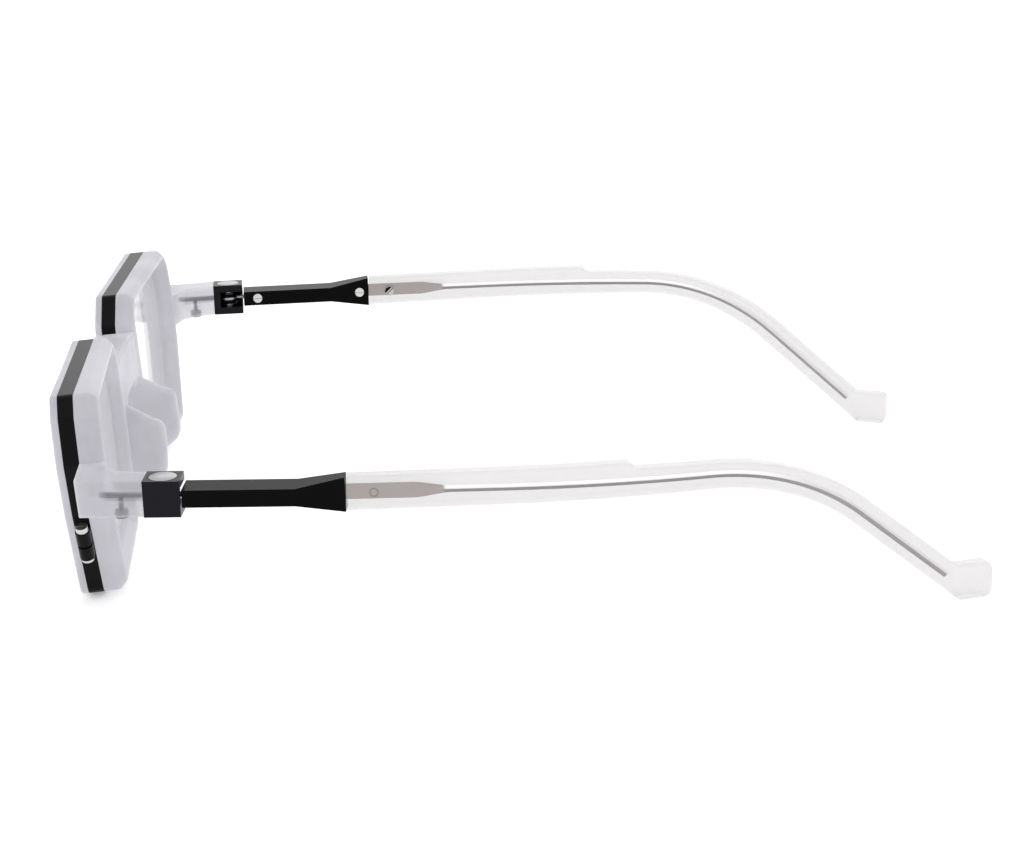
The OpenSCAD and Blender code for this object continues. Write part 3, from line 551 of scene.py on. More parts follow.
def ear_bend():
    """The foot of the tail, the centre of the ear bend, and 40 unit vectors from it to the bend.
    The bend rounds the corner where the lower edge of the straight meets that of the tail."""
    rise, drop = np.radians(RISE), np.radians(EAR_DROP)
    along, fall = np.array([np.cos(rise), np.sin(rise)]), np.array([np.cos(drop), -np.sin(drop)])
    foot = np.array([TEMPLE_L - TIP_L - FOOT_L, FOOT_UP])
    start = np.array([FLARE_TO, START_Z])
    way = foot - start
    way_cross_fall = way[0] * fall[1] - way[1] * fall[0]
    along_cross_fall = along[0] * fall[1] - along[1] * fall[0]
    bend = start + along * way_cross_fall / along_cross_fall
    middle = bend - along * EAR_R * np.tan((rise + drop) / 2)
    middle = middle + EAR_R * np.array([along[1], -along[0]])
    a = np.linspace(rise, -drop, 40)
    return foot, middle, np.stack([-np.sin(a), np.cos(a)], axis=1)


# %% [markdown]
# The step in the upper edge, the ear bend on two arcs and the square tip are one pair of lines in
# the side view. Both have the same number of points, so a section stands between each pair.

# %% Temple surface
def between(first, last, count=12):
    """Points on the straight way from one point to another, without its two ends."""
    return first + (last - first) * np.linspace(0, 1, count)[1:-1, None]


def side_edges():
    """Pairs of points (y, z), lower and upper edge: the straight, the step in the upper edge, the
    ear bend on two arcs about one centre, the tail, and the block at the tip."""
    rise, drop = np.radians(RISE), np.radians(EAR_DROP)
    fall = np.array([np.cos(drop), -np.sin(drop)])
    up = np.array([-fall[1], fall[0]])
    foot, middle, arc = ear_bend()
    low_arc, high_arc = middle + EAR_R * arc, middle + (EAR_R + TAIL_H) * arc
    step = STEP_AT + STEP_HALF * np.array([-1, -0.5, 0, 0.5, 1, 1.5])
    y = np.concatenate([np.linspace(FLARE_TO + SEAT, STEP_AT - 1.5 * STEP_HALF, 40), step])
    low = START_Z + np.tan(rise) * (y - FLARE_TO)
    share = np.clip((y - STEP_AT + STEP_HALF) / (2 * STEP_HALF), 0, 1)
    high = low + TEMPLE_H - STEP_H * share * share * (3 - 2 * share)
    low, high = np.stack([y, low], 1), np.stack([y, high], 1)
    tail_top = foot + TAIL_H * up
    tail_top = tail_top - (TIP_H - tail_top[1]) / -fall[1] * fall
    tip_low = np.array([foot, [foot[0] + 0.8, 0.45], [foot[0] + 1.5, 0]])
    tip_high = np.array([tail_top, tail_top + [0.35, 0], [tail_top[0] + 0.8, TIP_H]])
    end_low = TIP_ROUND * [-1, 1] + [TEMPLE_L, 0]
    end_high = TIP_ROUND * [-1, -1] + [TEMPLE_L, TIP_H]
    mid_low, mid_high = between(low[-1], low_arc[0]), between(high[-1], high_arc[0])
    tail_low, tail_high = between(low_arc[-1], foot), between(high_arc[-1], tail_top)
    return (
        np.vstack([low, mid_low, low_arc, tail_low, tip_low, end_low]),
        np.vstack([high, mid_high, high_arc, tail_high, tip_high, end_high]),
    )


def temple():
    """Rounded rectangles between the two edges; their width lies across the heading."""
    low, high = side_edges()
    t = TEMPLE_T
    corners = [across(low, -t), across(low, t), across(high, t), across(high, -t)]
    rows = [section(c, TEMPLE_EDGE_R, 6) for c in np.stack(corners, axis=1)]
    return surface("left_temple_crystal", np.array(rows), np.eye(4))


left_temple = temple()
print("temple:", len(left_temple.data.polygons), "faces")

# %% [markdown]
# The metal core is shot into the hot plastic. It is a plate that the arm holds, and a wire drawn
# out of it, so it is one loft too: half its height falls from the plate's to the wire's over a
# short nose, and its section rounds off on the way.

# %% Core
TONGUE_FROM, PLATE_TO, PLATE_NOSE, PLATE_H, PLATE_EDGE_R = 24.7, 41.2, 4.9, 2.5, 0.2
CORE_T, WIRE_H, WIRE_EDGE_R, WIRE_SHORT, WIRE_FROM = 0.9, 1.1, 0.6, 8.5, 45.7
WIRE_LOW, WIRE_REAR = (TEMPLE_H - 0.3) / 2 + 0.15, (TAIL_H - 0.4) / 2 + 0.1


def core():
    """A line along the middle of the temple, then low + up and low - up at half the height h, where
    h = plate + (wire - plate) s, and the share s rises from 0 to 1 over the plate's nose."""
    rise, drop, pitch = np.radians(RISE), np.radians(EAR_DROP), np.radians(PITCH)
    foot, bend_middle, arc = ear_bend()
    start = np.array([FLARE_TO, START_Z]) + WIRE_LOW * np.array([-np.sin(rise), np.cos(rise)])
    curve = bend_middle + (EAR_R + WIRE_REAR) * arc
    end = foot + WIRE_REAR * np.array([np.sin(drop), np.cos(drop)])
    end -= (WIRE_SHORT - TIP_L) * np.array([np.cos(drop), -np.sin(drop)])
    tongue = start + (TONGUE_FROM - FLARE_TO) * np.array([np.cos(pitch), np.sin(pitch)])
    t = np.concatenate([np.linspace(0, 0.5, 70), np.linspace(0.5, 1, 16)[1:-1]])[:, None]
    tail = curve[-1] + (end - curve[-1]) * np.linspace(0, 1, 10)[1:, None]
    line = np.vstack([tongue, start + (curve[0] - start) * t, curve, tail])
    way = np.gradient(line, axis=0)
    up = np.stack([-way[:, 1], way[:, 0]], axis=1) / np.linalg.norm(way, axis=1)[:, None]
    share = np.clip((line[:, 0] - PLATE_TO) / PLATE_NOSE, 0, 1)
    half = (PLATE_H + (WIRE_H - PLATE_H) * share)[:, None] / 2
    low, high, t = line - half * up, line + half * up, CORE_T
    corners = [across(low, -t), across(low, t), across(high, t), across(high, -t)]
    radii = PLATE_EDGE_R + (WIRE_EDGE_R - PLATE_EDGE_R) * share
    rows = [section(c, radius, 5) for c, radius in zip(np.stack(corners, axis=1), radii)]
    return surface("left_core_metal", np.array(rows), np.eye(4))


left_core = core()
right_temple = mirrored(left_temple, "right_temple_crystal")
right_core = mirrored(left_core, "right_core_metal")
print("core:", len(left_core.data.polygons), "faces")


# %% [markdown]
# ## The metal
# Turned and milled metal has a tiny broken edge that catches the light. For the milled pieces, a
# copy of each CAD solid is merged, its flat faces are joined again, and a narrow bevel is cut
# along its sharp edges.

# %% Milled pieces
SIDES = ("left", "right")
BROKEN_EDGES = {"arm": 0.1, "hinge_block": 0.14, "lock_barrels": 0.08}


def softened(node, width):
    """A copy of a CAD solid with a narrow bevel along its sharp edges, to stand for the node."""
    work = bmesh.new()
    work.from_mesh(cad_nodes[node].data)
    bmesh.ops.remove_doubles(work, verts=work.verts, dist=1e-6)
    bmesh.ops.dissolve_limit(
        work, angle_limit=np.radians(0.5), verts=work.verts, edges=work.edges
    )
    mesh = bpy.data.meshes.new(node + "_metal")
    work.to_mesh(mesh)
    work.free()
    piece = bpy.data.objects.new(node + "_metal", mesh)
    bpy.context.scene.collection.objects.link(piece)
    edge = piece.modifiers.new("broken edge", "BEVEL")
    edge.width, edge.segments = width * MM, 3
    edge.limit_method, edge.angle_limit = "ANGLE", np.radians(40)
    return shade(piece, 35)


metal = {}
for side in SIDES:
    for name, width in BROKEN_EDGES.items():
        metal[f"{side}_{name}"] = softened(f"{side}_{name}", width)
print("bevelled metal pieces:", len(metal))

# %% [markdown]
# Screws are turned on a lathe, and so they are here: half a section is carried once round its axis.
# The hinge screw's head is a plain disc. The screw through the core has its head in the inner wall
# of the temple, and its end is riveted over.

# %% Turned pieces
def turned(name, line, matrix, around=72):
    """A turned piece: a line of (radius, height) carried round Z, then placed by a matrix."""
    line, a = np.array(line), np.linspace(0, 2 * np.pi, around, endpoint=False)
    x, y = line[:, :1] * np.cos(a), line[:, :1] * np.sin(a)
    z = np.repeat(line[:, 1:], around, axis=1)
    return surface(name, np.stack([x, y, z], axis=2), matrix)


screw_mesh = cad_nodes["left_core_screw"].data
screw_points = np.empty(len(screw_mesh.vertices) * 3, np.float32)
screw_mesh.vertices.foreach_get("co", screw_points)
screw_points = screw_points.reshape(-1, 3).astype(float)
CORE_SCREW_FACE = screw_points[:, 0].min()
CORE_SCREW_AT = (screw_points.min(0) + screw_points.max(0)) / 2


def core_pin():
    """The screw through the core: its head is let into the inner wall of the temple, and its end is
    riveted flush with the plate."""
    line = [
        [0.02, -1.52], [0.9, -1.52], [0.94, -1.48], [0.94, -0.9],
        [0.5, -0.9], [0.5, 0.5], [0.02, 0.5],
    ]
    y, z = CORE_SCREW_AT[1:] / MM
    place = shift(plan_x(np.array(y - HINGE_Y)), y, z) @ turn("Z", -HEAD) @ turn("Y", 90)
    return turned("left_core_screw_metal", line, place)


def hinge_pin():
    """The hinge screw: its head is a plain disc, flush with the top of the block."""
    top, foot = BLOCK_H / 2, 0.65 - BLOCK_H / 2
    line = [
        [0.02, foot], [0.95, foot], [1.03, foot + 0.1], [1.03, top - 0.75], [2.38, top - 0.75],
        [2.42, top - 0.7], [2.42, top - 0.08], [2.4, top - 0.03], [2.35, top], [0.02, top],
    ]
    return turned("left_hinge_screw_metal", line, HINGE_FRAME)


metal["left_hinge_screw"], metal["left_core_screw"] = hinge_pin(), core_pin()
metal["left_core"], metal["right_core"] = shade(left_core, 50), shade(right_core, 50)
for name in ("hinge_screw", "core_screw"):
    metal[f"right_{name}"] = shade(mirrored(metal[f"left_{name}"], f"right_{name}_metal"), 35)
    shade(metal[f"left_{name}"], 35)
print("metal pieces:", len(metal))


# %% [markdown]
# ## Finishes
# Every finish starts from the real material's own numbers. A few helpers keep the networks short:
# one turns an sRGB hex colour to linear, one adds a node with its settings and its links, and the
# others name the few sums that come back in every finish.

# %% Helpers for finishes
def colour(hex_code):
    """sRGB hex to linear: c / 12.92 below 0.04045, else ((c + 0.055) / 1.055) ** 2.4."""
    c = np.array([int(hex_code[k : k + 2], 16) for k in (1, 3, 5)]) / 255
    return (*np.where(c <= 0.04045, c / 12.92, ((c + 0.055) / 1.055) ** 2.4), 1.0)


def add(tree, kind, settings=None, **inputs):
    """Adds a node, sets its properties, and fills or links its inputs by name, or by number as
    i0, i1 and so on."""
    node = tree.nodes.new(kind)
    for key, value in (settings or {}).items():
        setattr(node, key, value)
    for key, value in inputs.items():
        by_number = key[0] == "i" and key[1:].isdigit()
        fill(tree, node.inputs[int(key[1:]) if by_number else key.replace("_", " ")], value)
    return node


def fill(tree, socket, value):
    """Links a socket to another one, or sets its value."""
    if isinstance(value, bpy.types.NodeSocket):
        tree.links.new(value, socket)
    else:
        socket.default_value = value


def new_finish(name):
    """An empty material with its output, its shader and the object's coordinates."""
    material = bpy.data.materials.new(name)
    material.use_nodes = True
    tree = material.node_tree
    tree.nodes.clear()
    shader = tree.nodes.new("ShaderNodeBsdfPrincipled")
    add(tree, "ShaderNodeOutputMaterial", Surface=shader.outputs["BSDF"])
    coords = tree.nodes.new("ShaderNodeTexCoord").outputs["Object"]
    return material, tree, shader, coords


def ramp(tree, value, low, high):
    """A smooth step from 0 at low to 1 at high."""
    return add(tree, "ShaderNodeMapRange", {"interpolation_type": "SMOOTHSTEP"},
               Value=value, From_Min=low, From_Max=high).outputs["Result"]


def calc(tree, how, a, b=0.0):
    """One Math node."""
    return add(tree, "ShaderNodeMath", {"operation": how}, i0=a, i1=b).outputs[0]


def times(tree, first, *others):
    """All the values multiplied."""
    for other in others:
        first = calc(tree, "MULTIPLY", first, other)
    return first


def off_axis(tree, u, v):
    """Distance from an axis: the square root of u squared plus v squared."""
    return calc(tree, "SQRT", calc(tree, "ADD", times(tree, u, u), times(tree, v, v)))


def blend(tree, share, first, second):
    """Mixes two colours by a share."""
    node = add(tree, "ShaderNodeMix", {"data_type": "RGBA"}, i0=share, i6=first, i7=second)
    return node.outputs[2]


def hinge_part(tree, coords):
    """x, y and z of a surface point in its own hinge's frame; the right side is folded over."""
    spot = add(tree, "ShaderNodeSeparateXYZ", Vector=coords).outputs
    x = calc(tree, "ABSOLUTE", spot[0])
    folded = add(tree, "ShaderNodeCombineXYZ", X=x, Y=spot[1], Z=spot[2])
    local = add(tree, "ShaderNodeMapping", {"vector_type": "TEXTURE"}, Vector=folded.outputs[0],
                Location=(HINGE_X * MM, HINGE_Y * MM, HINGE_Z * MM),
                Rotation=tuple(np.radians([PITCH, ROLL, -SPLAY])))
    return add(tree, "ShaderNodeSeparateXYZ", Vector=local.outputs[0]).outputs


# %% [markdown]
# Cellulose acetate for the front: milled, then tumbled matt. It scatters light all through its
# thickness, so it looks lit from within and hardly mirrors anything. Full scattering would need
# thousands of samples; a dark base that gives off a little light of its own comes out the same and
# stays clean. Towards the hinge the plastic is clearer. There the anchor rod and its screw show
# through, and a soft shadow on the surface blurs them as a milky skin does.

# %% Frosted acetate
# Spans in the hinge's frame, in mm: the rod's height and length, then those of shank and head
ROD_Z, ROD_Y = (-0.25, 1.05), (-9.4, -2.9)
SHANK_Z, SHANK_Y = (-1.9, -0.6), (-7.1, -6.3)
HEAD_Z, HEAD_Y = (-2.9, -1.5), (-7.7, -5.6)


def within(tree, value, span, soft):
    """1 between two places, 0 outside, with soft borders."""
    low, high = span
    return times(tree, ramp(tree, value, (low - soft) * MM, (low + soft) * MM),
                 ramp(tree, value, (high + soft) * MM, (high - soft) * MM))


def anchor_shadow(tree, part):
    """Share of grey where the rod and the screw lie behind the surface, soft at their borders.
    They lie about 2 mm deep, and seen from above and behind they come out a little higher."""
    x, y, z = part[:3]
    rod = times(tree, within(tree, z, ROD_Z, 0.3), within(tree, y, ROD_Y, 0.7))
    shank = times(tree, within(tree, y, SHANK_Y, 0.3), within(tree, z, SHANK_Z, 0.35), 0.7)
    head = times(tree, within(tree, y, HEAD_Y, 0.3), within(tree, z, HEAD_Z, 0.3), 0.35)
    seen = calc(tree, "MAXIMUM", rod, calc(tree, "MAXIMUM", shank, head))
    return times(tree, seen, ramp(tree, x, -7.5 * MM, -5.5 * MM))


def frosted_acetate():
    """Milky acetate: IOR 1.49 with the dull gloss of a tumbled skin, roughness near 0.4, a cloudy
    tint of a few millimetres that also glows, and a little clearer next to the hinge."""
    material, tree, shader, coords = new_finish("frosted_crystal_acetate")
    part = hinge_part(tree, coords)
    cloud = add(tree, "ShaderNodeTexNoise", Vector=coords, Scale=90.0, Detail=3.0, Roughness=0.5)
    milk = ramp(tree, cloud.outputs[0], 0.35, 0.65)
    body = blend(tree, milk, colour("#6A696D"), colour("#706F73"))
    tinted = blend(tree, times(tree, anchor_shadow(tree, part), 0.7), body, colour("#3B3B40"))
    tree.links.new(tinted, shader.inputs["Base Color"])
    tree.links.new(tinted, shader.inputs["Emission Color"])
    shader.inputs["Emission Strength"].default_value = 2.4
    haze = add(tree, "ShaderNodeTexNoise", Vector=coords, Scale=2600.0, Detail=2.0).outputs[0]
    rough = add(tree, "ShaderNodeMapRange", Value=haze, To_Min=0.34, To_Max=0.46).outputs[0]
    tree.links.new(rough, shader.inputs["Roughness"])
    bump = add(tree, "ShaderNodeBump", Height=haze, Strength=0.05, Distance=0.00005)
    tree.links.new(bump.outputs[0], shader.inputs["Normal"])
    shader.inputs["IOR"].default_value = 1.49
    shader.inputs["Specular IOR Level"].default_value = 0.15
    shader.inputs["Subsurface Weight"].default_value = 1.0
    shader.inputs["Subsurface Radius"].default_value = (1.0, 1.0, 1.0)
    shader.inputs["Subsurface Scale"].default_value = 0.004
    shader.inputs["Transmission Weight"].default_value = 0.25
    towards_hinge = ramp(tree, part[1], -13.5 * MM, -9.5 * MM)
    clear = times(tree, towards_hinge, ramp(tree, part[0], -8 * MM, -5.5 * MM), 0.42)
    tree.links.new(calc(tree, "SUBTRACT", 1.0, clear), shader.inputs["Alpha"])
    return material


FROSTED = frosted_acetate()
print("finish:", FROSTED.name)

# %% [markdown]
# The temples are the same acetate, polished clear: the light goes right through to the core, and
# the haze in the 3 mm of plastic shows as a light grey. Glass-like bending of the light would
# double the thin wire, so the skin lets light pass straight instead.

# %% Clear acetate
def clear_acetate():
    """Polished clear acetate: nearly two thirds of the light passes each skin without a bend."""
    material, tree, shader, coords = new_finish("clear_crystal_acetate")
    cloud = add(tree, "ShaderNodeTexNoise", Vector=coords, Scale=60.0, Detail=2.0).outputs[0]
    body = blend(tree, cloud, colour("#C7C2C4"), colour("#D0CCCE"))
    tree.links.new(body, shader.inputs["Base Color"])
    rough = add(tree, "ShaderNodeMapRange", Value=cloud, To_Min=0.06, To_Max=0.10).outputs[0]
    tree.links.new(rough, shader.inputs["Roughness"])
    shader.inputs["IOR"].default_value = 1.49
    shader.inputs["Alpha"].default_value = 0.36
    return material


CLEAR = clear_acetate()
print("finish:", CLEAR.name)

# %% [markdown]
# Anodised aluminium for hoops, blocks and arms: the blasted surface stays fine and matt under the
# black layer, so it is nearly black from the side and grey where it mirrors the light above. The
# layer covers the metal, so the shader is a dark plastic and not a metal.

# %% Black anodised aluminium
def black_metal(name, dark, light, gloss):
    """Black anodising over a blasted surface, with a grain of about 0.1 mm."""
    material, tree, shader, coords = new_finish(name)
    grain = add(tree, "ShaderNodeTexNoise", Vector=coords, Scale=9000.0, Detail=2.0).outputs[0]
    body = blend(tree, grain, colour(dark), colour(light))
    tree.links.new(body, shader.inputs["Base Color"])
    rough = add(tree, "ShaderNodeMapRange", Value=grain, To_Min=0.26, To_Max=0.34).outputs[0]
    tree.links.new(rough, shader.inputs["Roughness"])
    bump = add(tree, "ShaderNodeBump", Height=grain, Strength=0.08, Distance=0.00003)
    tree.links.new(bump.outputs[0], shader.inputs["Normal"])
    shader.inputs["Specular IOR Level"].default_value = gloss
    return material


HOOP = black_metal("black_anodised_hoop", "#010102", "#030305", 0.12)
BLOCK = black_metal("black_anodised_block", "#04030A", "#090812", 0.16)
BLACK = black_metal("black_anodised_arm", "#020203", "#050507", 0.05)
print("finishes:", HOOP.name, BLOCK.name, BLACK.name)

# %% [markdown]
# Stainless steel for screws and rods, turned or drawn, so fine streaks run along it. The noise is
# stretched along one direction, and it tints the steel as well as varying its gloss.

# %% Steel
ROUND_LAY, LONG_LAY = (3000, 3000, 400), (400, 60, 2500)


def steel(name, light, dark, grain_scale, rough_low, rough_high):
    """Steel with a fine lay: streaks along one direction tint it and vary its gloss. Gives back the
    material and, for a finish with more to it, its tree, shader, coordinates and colour."""
    material, tree, shader, coords = new_finish(name)
    stretched = add(tree, "ShaderNodeMapping", Vector=coords, Scale=grain_scale).outputs[0]
    lay = add(tree, "ShaderNodeTexNoise", Vector=stretched, Scale=1.0, Detail=3.0).outputs[0]
    body = blend(tree, lay, colour(dark), colour(light))
    tree.links.new(body, shader.inputs["Base Color"])
    rough = add(tree, "ShaderNodeMapRange", Value=lay, To_Min=rough_low, To_Max=rough_high)
    tree.links.new(rough.outputs[0], shader.inputs["Roughness"])
    shader.inputs["Metallic"].default_value = 1.0
    return material, tree, shader, coords, body


STEEL = steel("turned_steel", "#DAD9D5", "#C2C1BE", ROUND_LAY, 0.22, 0.38)[0]
# The anchor rod and its screw: the same steel painted darker, as painted shade where they lie
# inside the plastic.
SHADED_ANCHOR_STEEL = steel("anchor_steel", "#8A8A8D", "#78787C", ROUND_LAY, 0.3, 0.45)[0]
BRASS = steel("satin_brass", "#C9B07A", "#B0955F", (2000, 2000, 400), 0.25, 0.4)[0]
print("finishes:", STEEL.name, SHADED_ANCHOR_STEEL.name, BRASS.name)

# %% [markdown]
# Two pieces in the hinge have more than one tone. The disc on top sits in a seat that shades its
# rim, painted as a dark ring, and the eye in the block's slot is painted dark as painted shade, but
# for painted highlights on its edges and a painted light line along the rod. Both tones follow the
# distance from the hinge axis, so they need no second material.

# %% Steel in the hinge
def disc_steel():
    """The hinge screw's head: turned steel, with the shadow of its seat round the outer 0.1 mm."""
    material, tree, shader, coords, body = steel(
        "hinge_disc_steel", "#B9B8BA", "#ADACAE", ROUND_LAY, 0.25, 0.4
    )
    part = hinge_part(tree, coords)
    seat = ramp(tree, off_axis(tree, part[0], part[1]), 2.25 * MM, 2.35 * MM)
    tree.links.new(blend(tree, seat, body, colour("#1A1A1C")), shader.inputs["Base Color"])
    return material


def eye_steel():
    """The eye is painted dark as painted shade inside the slot, and its rod is bare. A painted
    light line carries the rod's line on over the eye, and its top, bottom and front edges are left
    light as painted highlights."""
    material, tree, shader, coords, body = steel(
        "eye_steel_painted_shade_and_highlights", "#B9B2B2", "#A59E9E", ROUND_LAY, 0.3, 0.45
    )
    part = hinge_part(tree, coords)
    high = calc(tree, "ABSOLUTE", part[2])
    eye = ramp(tree, off_axis(tree, part[0], part[1]), 2.0 * MM, 1.9 * MM)
    inside = ramp(tree, high, 1.15 * MM, 1.05 * MM)
    behind = ramp(tree, part[1], -1.35 * MM, -1.25 * MM)
    on_line = ramp(tree, high, 0.26 * MM, 0.18 * MM)
    rod = times(tree, on_line, ramp(tree, part[1], -1.1 * MM, -0.9 * MM))
    # Painted shade: the eye is painted dark inside the slot, except for painted highlights on its
    # top, bottom and front edges and a painted light line along the rod's line.
    black = times(tree, eye, inside, behind, calc(tree, "SUBTRACT", 1.0, rod))
    tree.links.new(blend(tree, black, body, colour("#0C0C0E")), shader.inputs["Base Color"])
    return material


DISC, EYE = disc_steel(), eye_steel()
print("finishes:", DISC.name, EYE.name)

# %% [markdown]
# The core is rolled steel left satin, with a warm tint from the acetate over it. The wire gathers
# light in its round channel, which gives it a bright line on top. That needs light bent by the
# plastic, which this skin doesn't do, so the upper half of the wire is painted white as a painted
# highlight and glows weakly, and its lower half is painted dark as painted shade. On the tail the
# line faces away and is gone.

# %% Core and its screw
CORE_LIGHT, CORE_DARK = "#A3978F", "#978B84"
TAIL_FROM, TAIL_FULL, WIRE_GLOW = 95, 110, 0.4
SQRT_HALF = 0.7071


def core_screw_spot(tree, coords):
    """Distance of a point from the core screw's axis, along the temple and upwards, and its x."""
    spot = add(tree, "ShaderNodeSeparateXYZ", Vector=coords).outputs
    u, v = (calc(tree, "SUBTRACT", spot[k], CORE_SCREW_AT[k]) for k in (1, 2))
    return u, v, spot


def core_steel():
    """Satin steel: the plate is a warm grey with a painted shadow ring round the screw's hole, and
    the drawn wire behind it has a painted highlight on top and painted shade underneath, where it
    lies against its channel."""
    material, tree, shader, coords, body = steel(
        "satin_core_steel", CORE_LIGHT, CORE_DARK, LONG_LAY, 0.35, 0.5
    )
    u, v, spot = core_screw_spot(tree, coords)
    far_out = off_axis(tree, u, v)
    # Painted shadow: a dark ring round the screw's hole, where the head's seat shades the plate.
    ring = times(tree, ramp(tree, far_out, 0.46 * MM, 0.56 * MM),
                 ramp(tree, far_out, 0.86 * MM, 0.76 * MM))
    plate = blend(tree, ring, body, colour("#5E5853"))
    # Painted highlight and painted shade on the wire: white where its normal points up, dark where
    # it points sideways or down, a lighter dark on the tail.
    geometry = tree.nodes.new("ShaderNodeNewGeometry")
    up = add(tree, "ShaderNodeSeparateXYZ", Vector=geometry.outputs["Normal"]).outputs[2]
    top_highlight = ramp(tree, up, 0.0, 0.25)
    tail = ramp(tree, spot[1], (HINGE_Y + TAIL_FROM) * MM, (HINGE_Y + TAIL_FULL) * MM)
    under_shade = blend(tree, tail, colour("#5B5654"), colour("#827D7B"))
    wire = blend(tree, top_highlight, under_shade, colour("#FFFFFF"))
    wire_from = HINGE_Y + WIRE_FROM
    on_wire = ramp(tree, spot[1], (wire_from - 0.6) * MM, (wire_from + 0.2) * MM)
    tree.links.new(blend(tree, on_wire, plate, wire), shader.inputs["Base Color"])
    glow = times(tree, top_highlight, on_wire, calc(tree, "SUBTRACT", 1.0, tail), WIRE_GLOW)
    tree.links.new(glow, shader.inputs["Emission Strength"])
    shader.inputs["Emission Color"].default_value = (1.0, 1.0, 1.0, 1.0)
    return material


def core_screw_steel():
    """The screw through the core. A slot crosses its head at 45 degrees, painted on: above the slot
    the face carries a painted dark reflection, below it a painted reflection of the white room, and
    a painted light lies in the slot. The rest of the head is painted dark, as painted shade from
    its seat."""
    material, tree, shader, coords, body = steel(
        "seated_screw_steel", CORE_LIGHT, CORE_DARK, LONG_LAY, 0.35, 0.5
    )
    u, v, spot = core_screw_spot(tree, coords)
    # Painted shade round the head from its seat; across the face, painted reflections and a painted
    # light in the slot.
    seat = ramp(tree, off_axis(tree, u, v), 0.63 * MM, 0.73 * MM)
    body = blend(tree, seat, body, colour("#4E4845"))
    above = times(tree, calc(tree, "SUBTRACT", v, u), SQRT_HALF)
    lit = ramp(tree, above, -0.02 * MM, 0.1 * MM)
    face = blend(tree, lit, colour("#5A5552"), colour("#C9C6C4"))
    face = blend(tree, ramp(tree, above, 0.2 * MM, 0.3 * MM), face, colour("#16141A"))
    face = blend(tree, ramp(tree, above, -0.12 * MM, -0.22 * MM), face, colour("#BDBAB8"))
    x = calc(tree, "ABSOLUTE", spot[0])
    on_face = ramp(tree, x, CORE_SCREW_FACE + 0.4 * MM, CORE_SCREW_FACE + 0.3 * MM)
    tree.links.new(blend(tree, on_face, body, face), shader.inputs["Base Color"])
    return material


CORE, CORE_SCREW = core_steel(), core_screw_steel()
print("finishes:", CORE.name, CORE_SCREW.name)

# %% [markdown]
# The lenses are thin coated plastic. They are nearly invisible, and a faint sheen stands for the
# coating, which greys them a little at a flat angle.

# %% Lens
def lens_glass():
    """Clear lens: thin coated plastic, hardly tinted."""
    material, tree, shader, coords = new_finish("clear_lens")
    veil = add(tree, "ShaderNodeTexNoise", Vector=coords, Scale=20.0).outputs[0]
    body = blend(tree, veil, colour("#FBFCFC"), colour("#FFFFFF"))
    tree.links.new(body, shader.inputs["Base Color"])
    shader.inputs["Roughness"].default_value = 0.01
    shader.inputs["Sheen Weight"].default_value = 0.6
    shader.inputs["Sheen Roughness"].default_value = 0.3
    shader.inputs["IOR"].default_value = 1.5
    shader.inputs["Transmission Weight"].default_value = 1.0
    return material


LENS = lens_glass()
print("finish:", LENS.name)

# %% [markdown]
# Every CAD node gets a finish, also those that a softer piece replaces and those deep inside, and
# each new piece rides on the body of the node that it stands for.

# %% Put the finishes on
FINISH = {
    "front_plate": FROSTED, "rear_body": FROSTED, "temple": CLEAR, "lens": LENS,
    "hoop": HOOP, "lock_barrels": HOOP, "hinge_block": BLOCK, "arm": BLACK,
    "lock_screw": STEEL, "lock_nut": STEEL, "spring": STEEL, "spring_screw": STEEL,
    "flare_screw": STEEL, "anchor_rod": SHADED_ANCHOR_STEEL, "anchor_screw": SHADED_ANCHOR_STEEL, "spring_sleeve": BRASS,
    "hinge_screw": DISC, "eye_rod": EYE, "core": CORE, "core_screw": CORE_SCREW,
}
ON_TEMPLE = ("arm", "core", "core_screw")


def wear(piece, material):
    """Gives a piece one material."""
    piece.data.materials.clear()
    piece.data.materials.append(material)


for name, node in cad_nodes.items():
    kind = name if name in FINISH else name.split("_", 1)[1]
    wear(node, FINISH[kind])

for piece, node in ((front_plate, "front_plate"), (rear_body, "rear_body")):
    shade(piece)
    wear(piece, FROSTED)
    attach(piece, "front")
    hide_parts(node)
for side, piece in (("left", left_temple), ("right", right_temple)):
    shade(piece)
    wear(piece, CLEAR)
    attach(piece, f"{side}_temple")
    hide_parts(f"{side}_temple")
for node, piece in metal.items():
    side, kind = node.split("_", 1)
    wear(piece, FINISH[kind])
    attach(piece, f"{side}_temple" if kind in ON_TEMPLE else "front")
    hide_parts(node)
print("dressed nodes:", len(cad_nodes), "with", len(set(FINISH.values())), "finishes")

# %% [markdown]
# ## The studio
# A white floor in an even white room, as in a catalogue picture. Clear plastic shows what stands
# round it, so dark corners would turn it black: the sky is white all round, and only two weak
# softboxes, one overhead and one behind, give the light a direction. The floor adds a little light
# of its own and so stays pure white.

# %% Floor, light and camera
FLOOR_HALF = 3.0


def floor():
    """A plain pale floor, far larger than the glasses."""
    mesh = bpy.data.meshes.new("floor")
    corners = [(x * FLOOR_HALF, y * FLOOR_HALF, 0) for x, y in ((-1, -1), (1, -1), (1, 1), (-1, 1))]
    mesh.from_pydata(corners, [], [(0, 1, 2, 3)])
    piece = bpy.data.objects.new("floor", mesh)
    bpy.context.scene.collection.objects.link(piece)
    material, tree, shader, coords = new_finish("white_paper")
    fibre = add(tree, "ShaderNodeTexNoise", Vector=coords, Scale=200.0).outputs[0]
    body = blend(tree, fibre, colour("#FBFBFB"), colour("#FFFFFF"))
    tree.links.new(body, shader.inputs["Base Color"])
    shader.inputs["Roughness"].default_value = 0.9
    shader.inputs["Specular IOR Level"].default_value = 0.0
    shader.inputs["Emission Color"].default_value = (1.0, 1.0, 1.0, 1.0)
    shader.inputs["Emission Strength"].default_value = 0.28
    wear(piece, material)


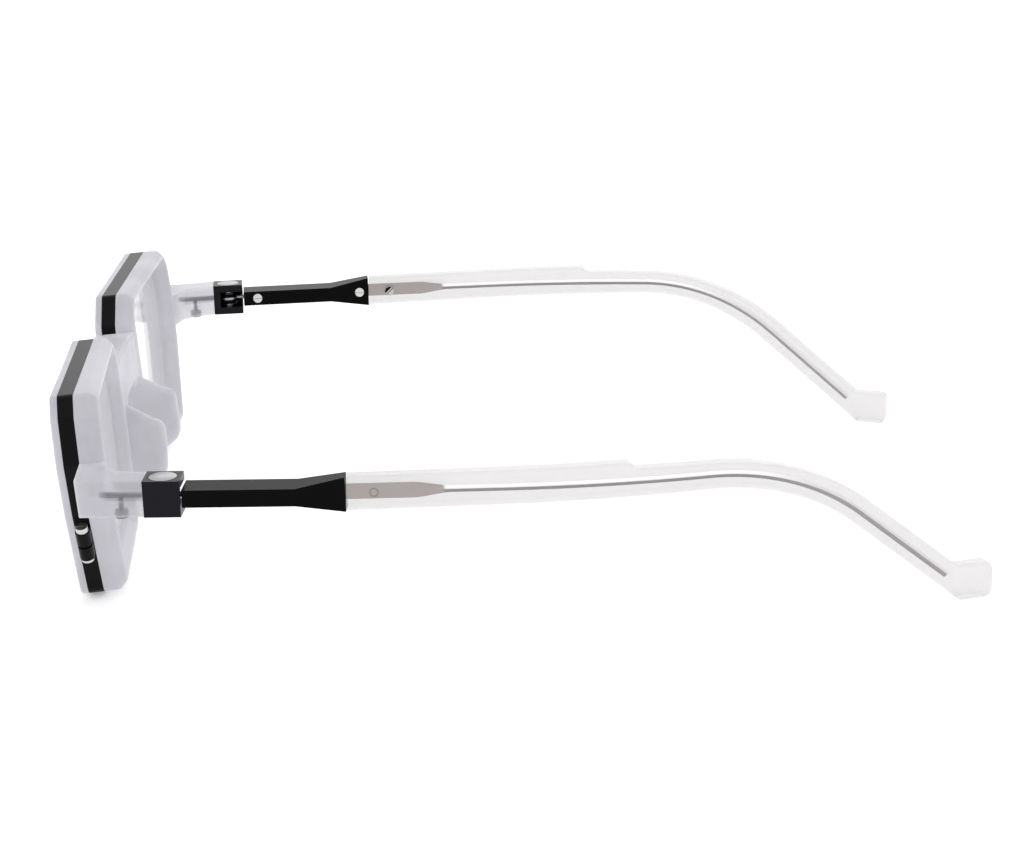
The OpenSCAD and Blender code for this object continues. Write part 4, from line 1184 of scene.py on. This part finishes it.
def sky():
    """White above and hardly greyer at the horizon."""
    world = bpy.data.worlds.new("studio")
    bpy.context.scene.world = world
    world.use_nodes = True
    tree = world.node_tree
    tree.nodes.clear()
    way = tree.nodes.new("ShaderNodeTexCoord").outputs["Generated"]
    up = add(tree, "ShaderNodeSeparateXYZ", Vector=way).outputs[2]
    tint = blend(tree, ramp(tree, up, 0.0, 0.9), colour("#F4F5F7"), colour("#FFFFFF"))
    light = add(tree, "ShaderNodeBackground", Color=tint, Strength=0.95)
    add(tree, "ShaderNodeOutputWorld", Surface=light.outputs[0])


def softbox(name, place, aim, size, power):
    """A square area light at a place, turned to its aim."""
    data = bpy.data.lights.new(name, "AREA")
    data.size, data.energy = size, power
    lamp = bpy.data.objects.new(name, data)
    bpy.context.scene.collection.objects.link(lamp)
    lamp.location = place
    lamp.rotation_euler = (Vector(place) - Vector(aim)).to_track_quat("Z", "Y").to_euler()


def camera():
    """The photograph's view: 90 mm lens on a 36 mm sensor, from the wearer's left and above."""
    data = bpy.data.cameras.new("camera")
    data.lens, data.sensor_width, data.sensor_fit = 90.0, 36.0, "HORIZONTAL"
    data.clip_start, data.clip_end = 0.01, 10.0
    lens = bpy.data.objects.new("camera", data)
    bpy.context.scene.collection.objects.link(lens)
    right = np.array([0.02807, 0.99959, 0.006])
    down = np.array([0.28661, -0.0023, -0.95805])
    ahead = np.array([-0.95764, 0.02861, -0.28655])
    pose = np.eye(4)
    pose[:3, 0], pose[:3, 1], pose[:3, 2] = right, -down, -ahead
    pose[:3, 3] = np.array([463.73, -14.2, 153.51]) * MM
    lens.matrix_world = Matrix(pose.tolist())
    bpy.context.scene.camera = lens


floor()
sky()
softbox("ceiling", place=(0, 0.1, 1.0), aim=(0, 0, 0), size=1.2, power=0.6)
softbox("back", place=(-1.25, 0.05, 0.42), aim=(0, 0, 0.02), size=0.8, power=1.0)
camera()
bpy.context.scene.view_settings.view_transform = "Standard"
print("camera at", [round(v, 3) for v in bpy.context.scene.camera.matrix_world.translation])

# %% Update the scene
bpy.context.view_layer.update()
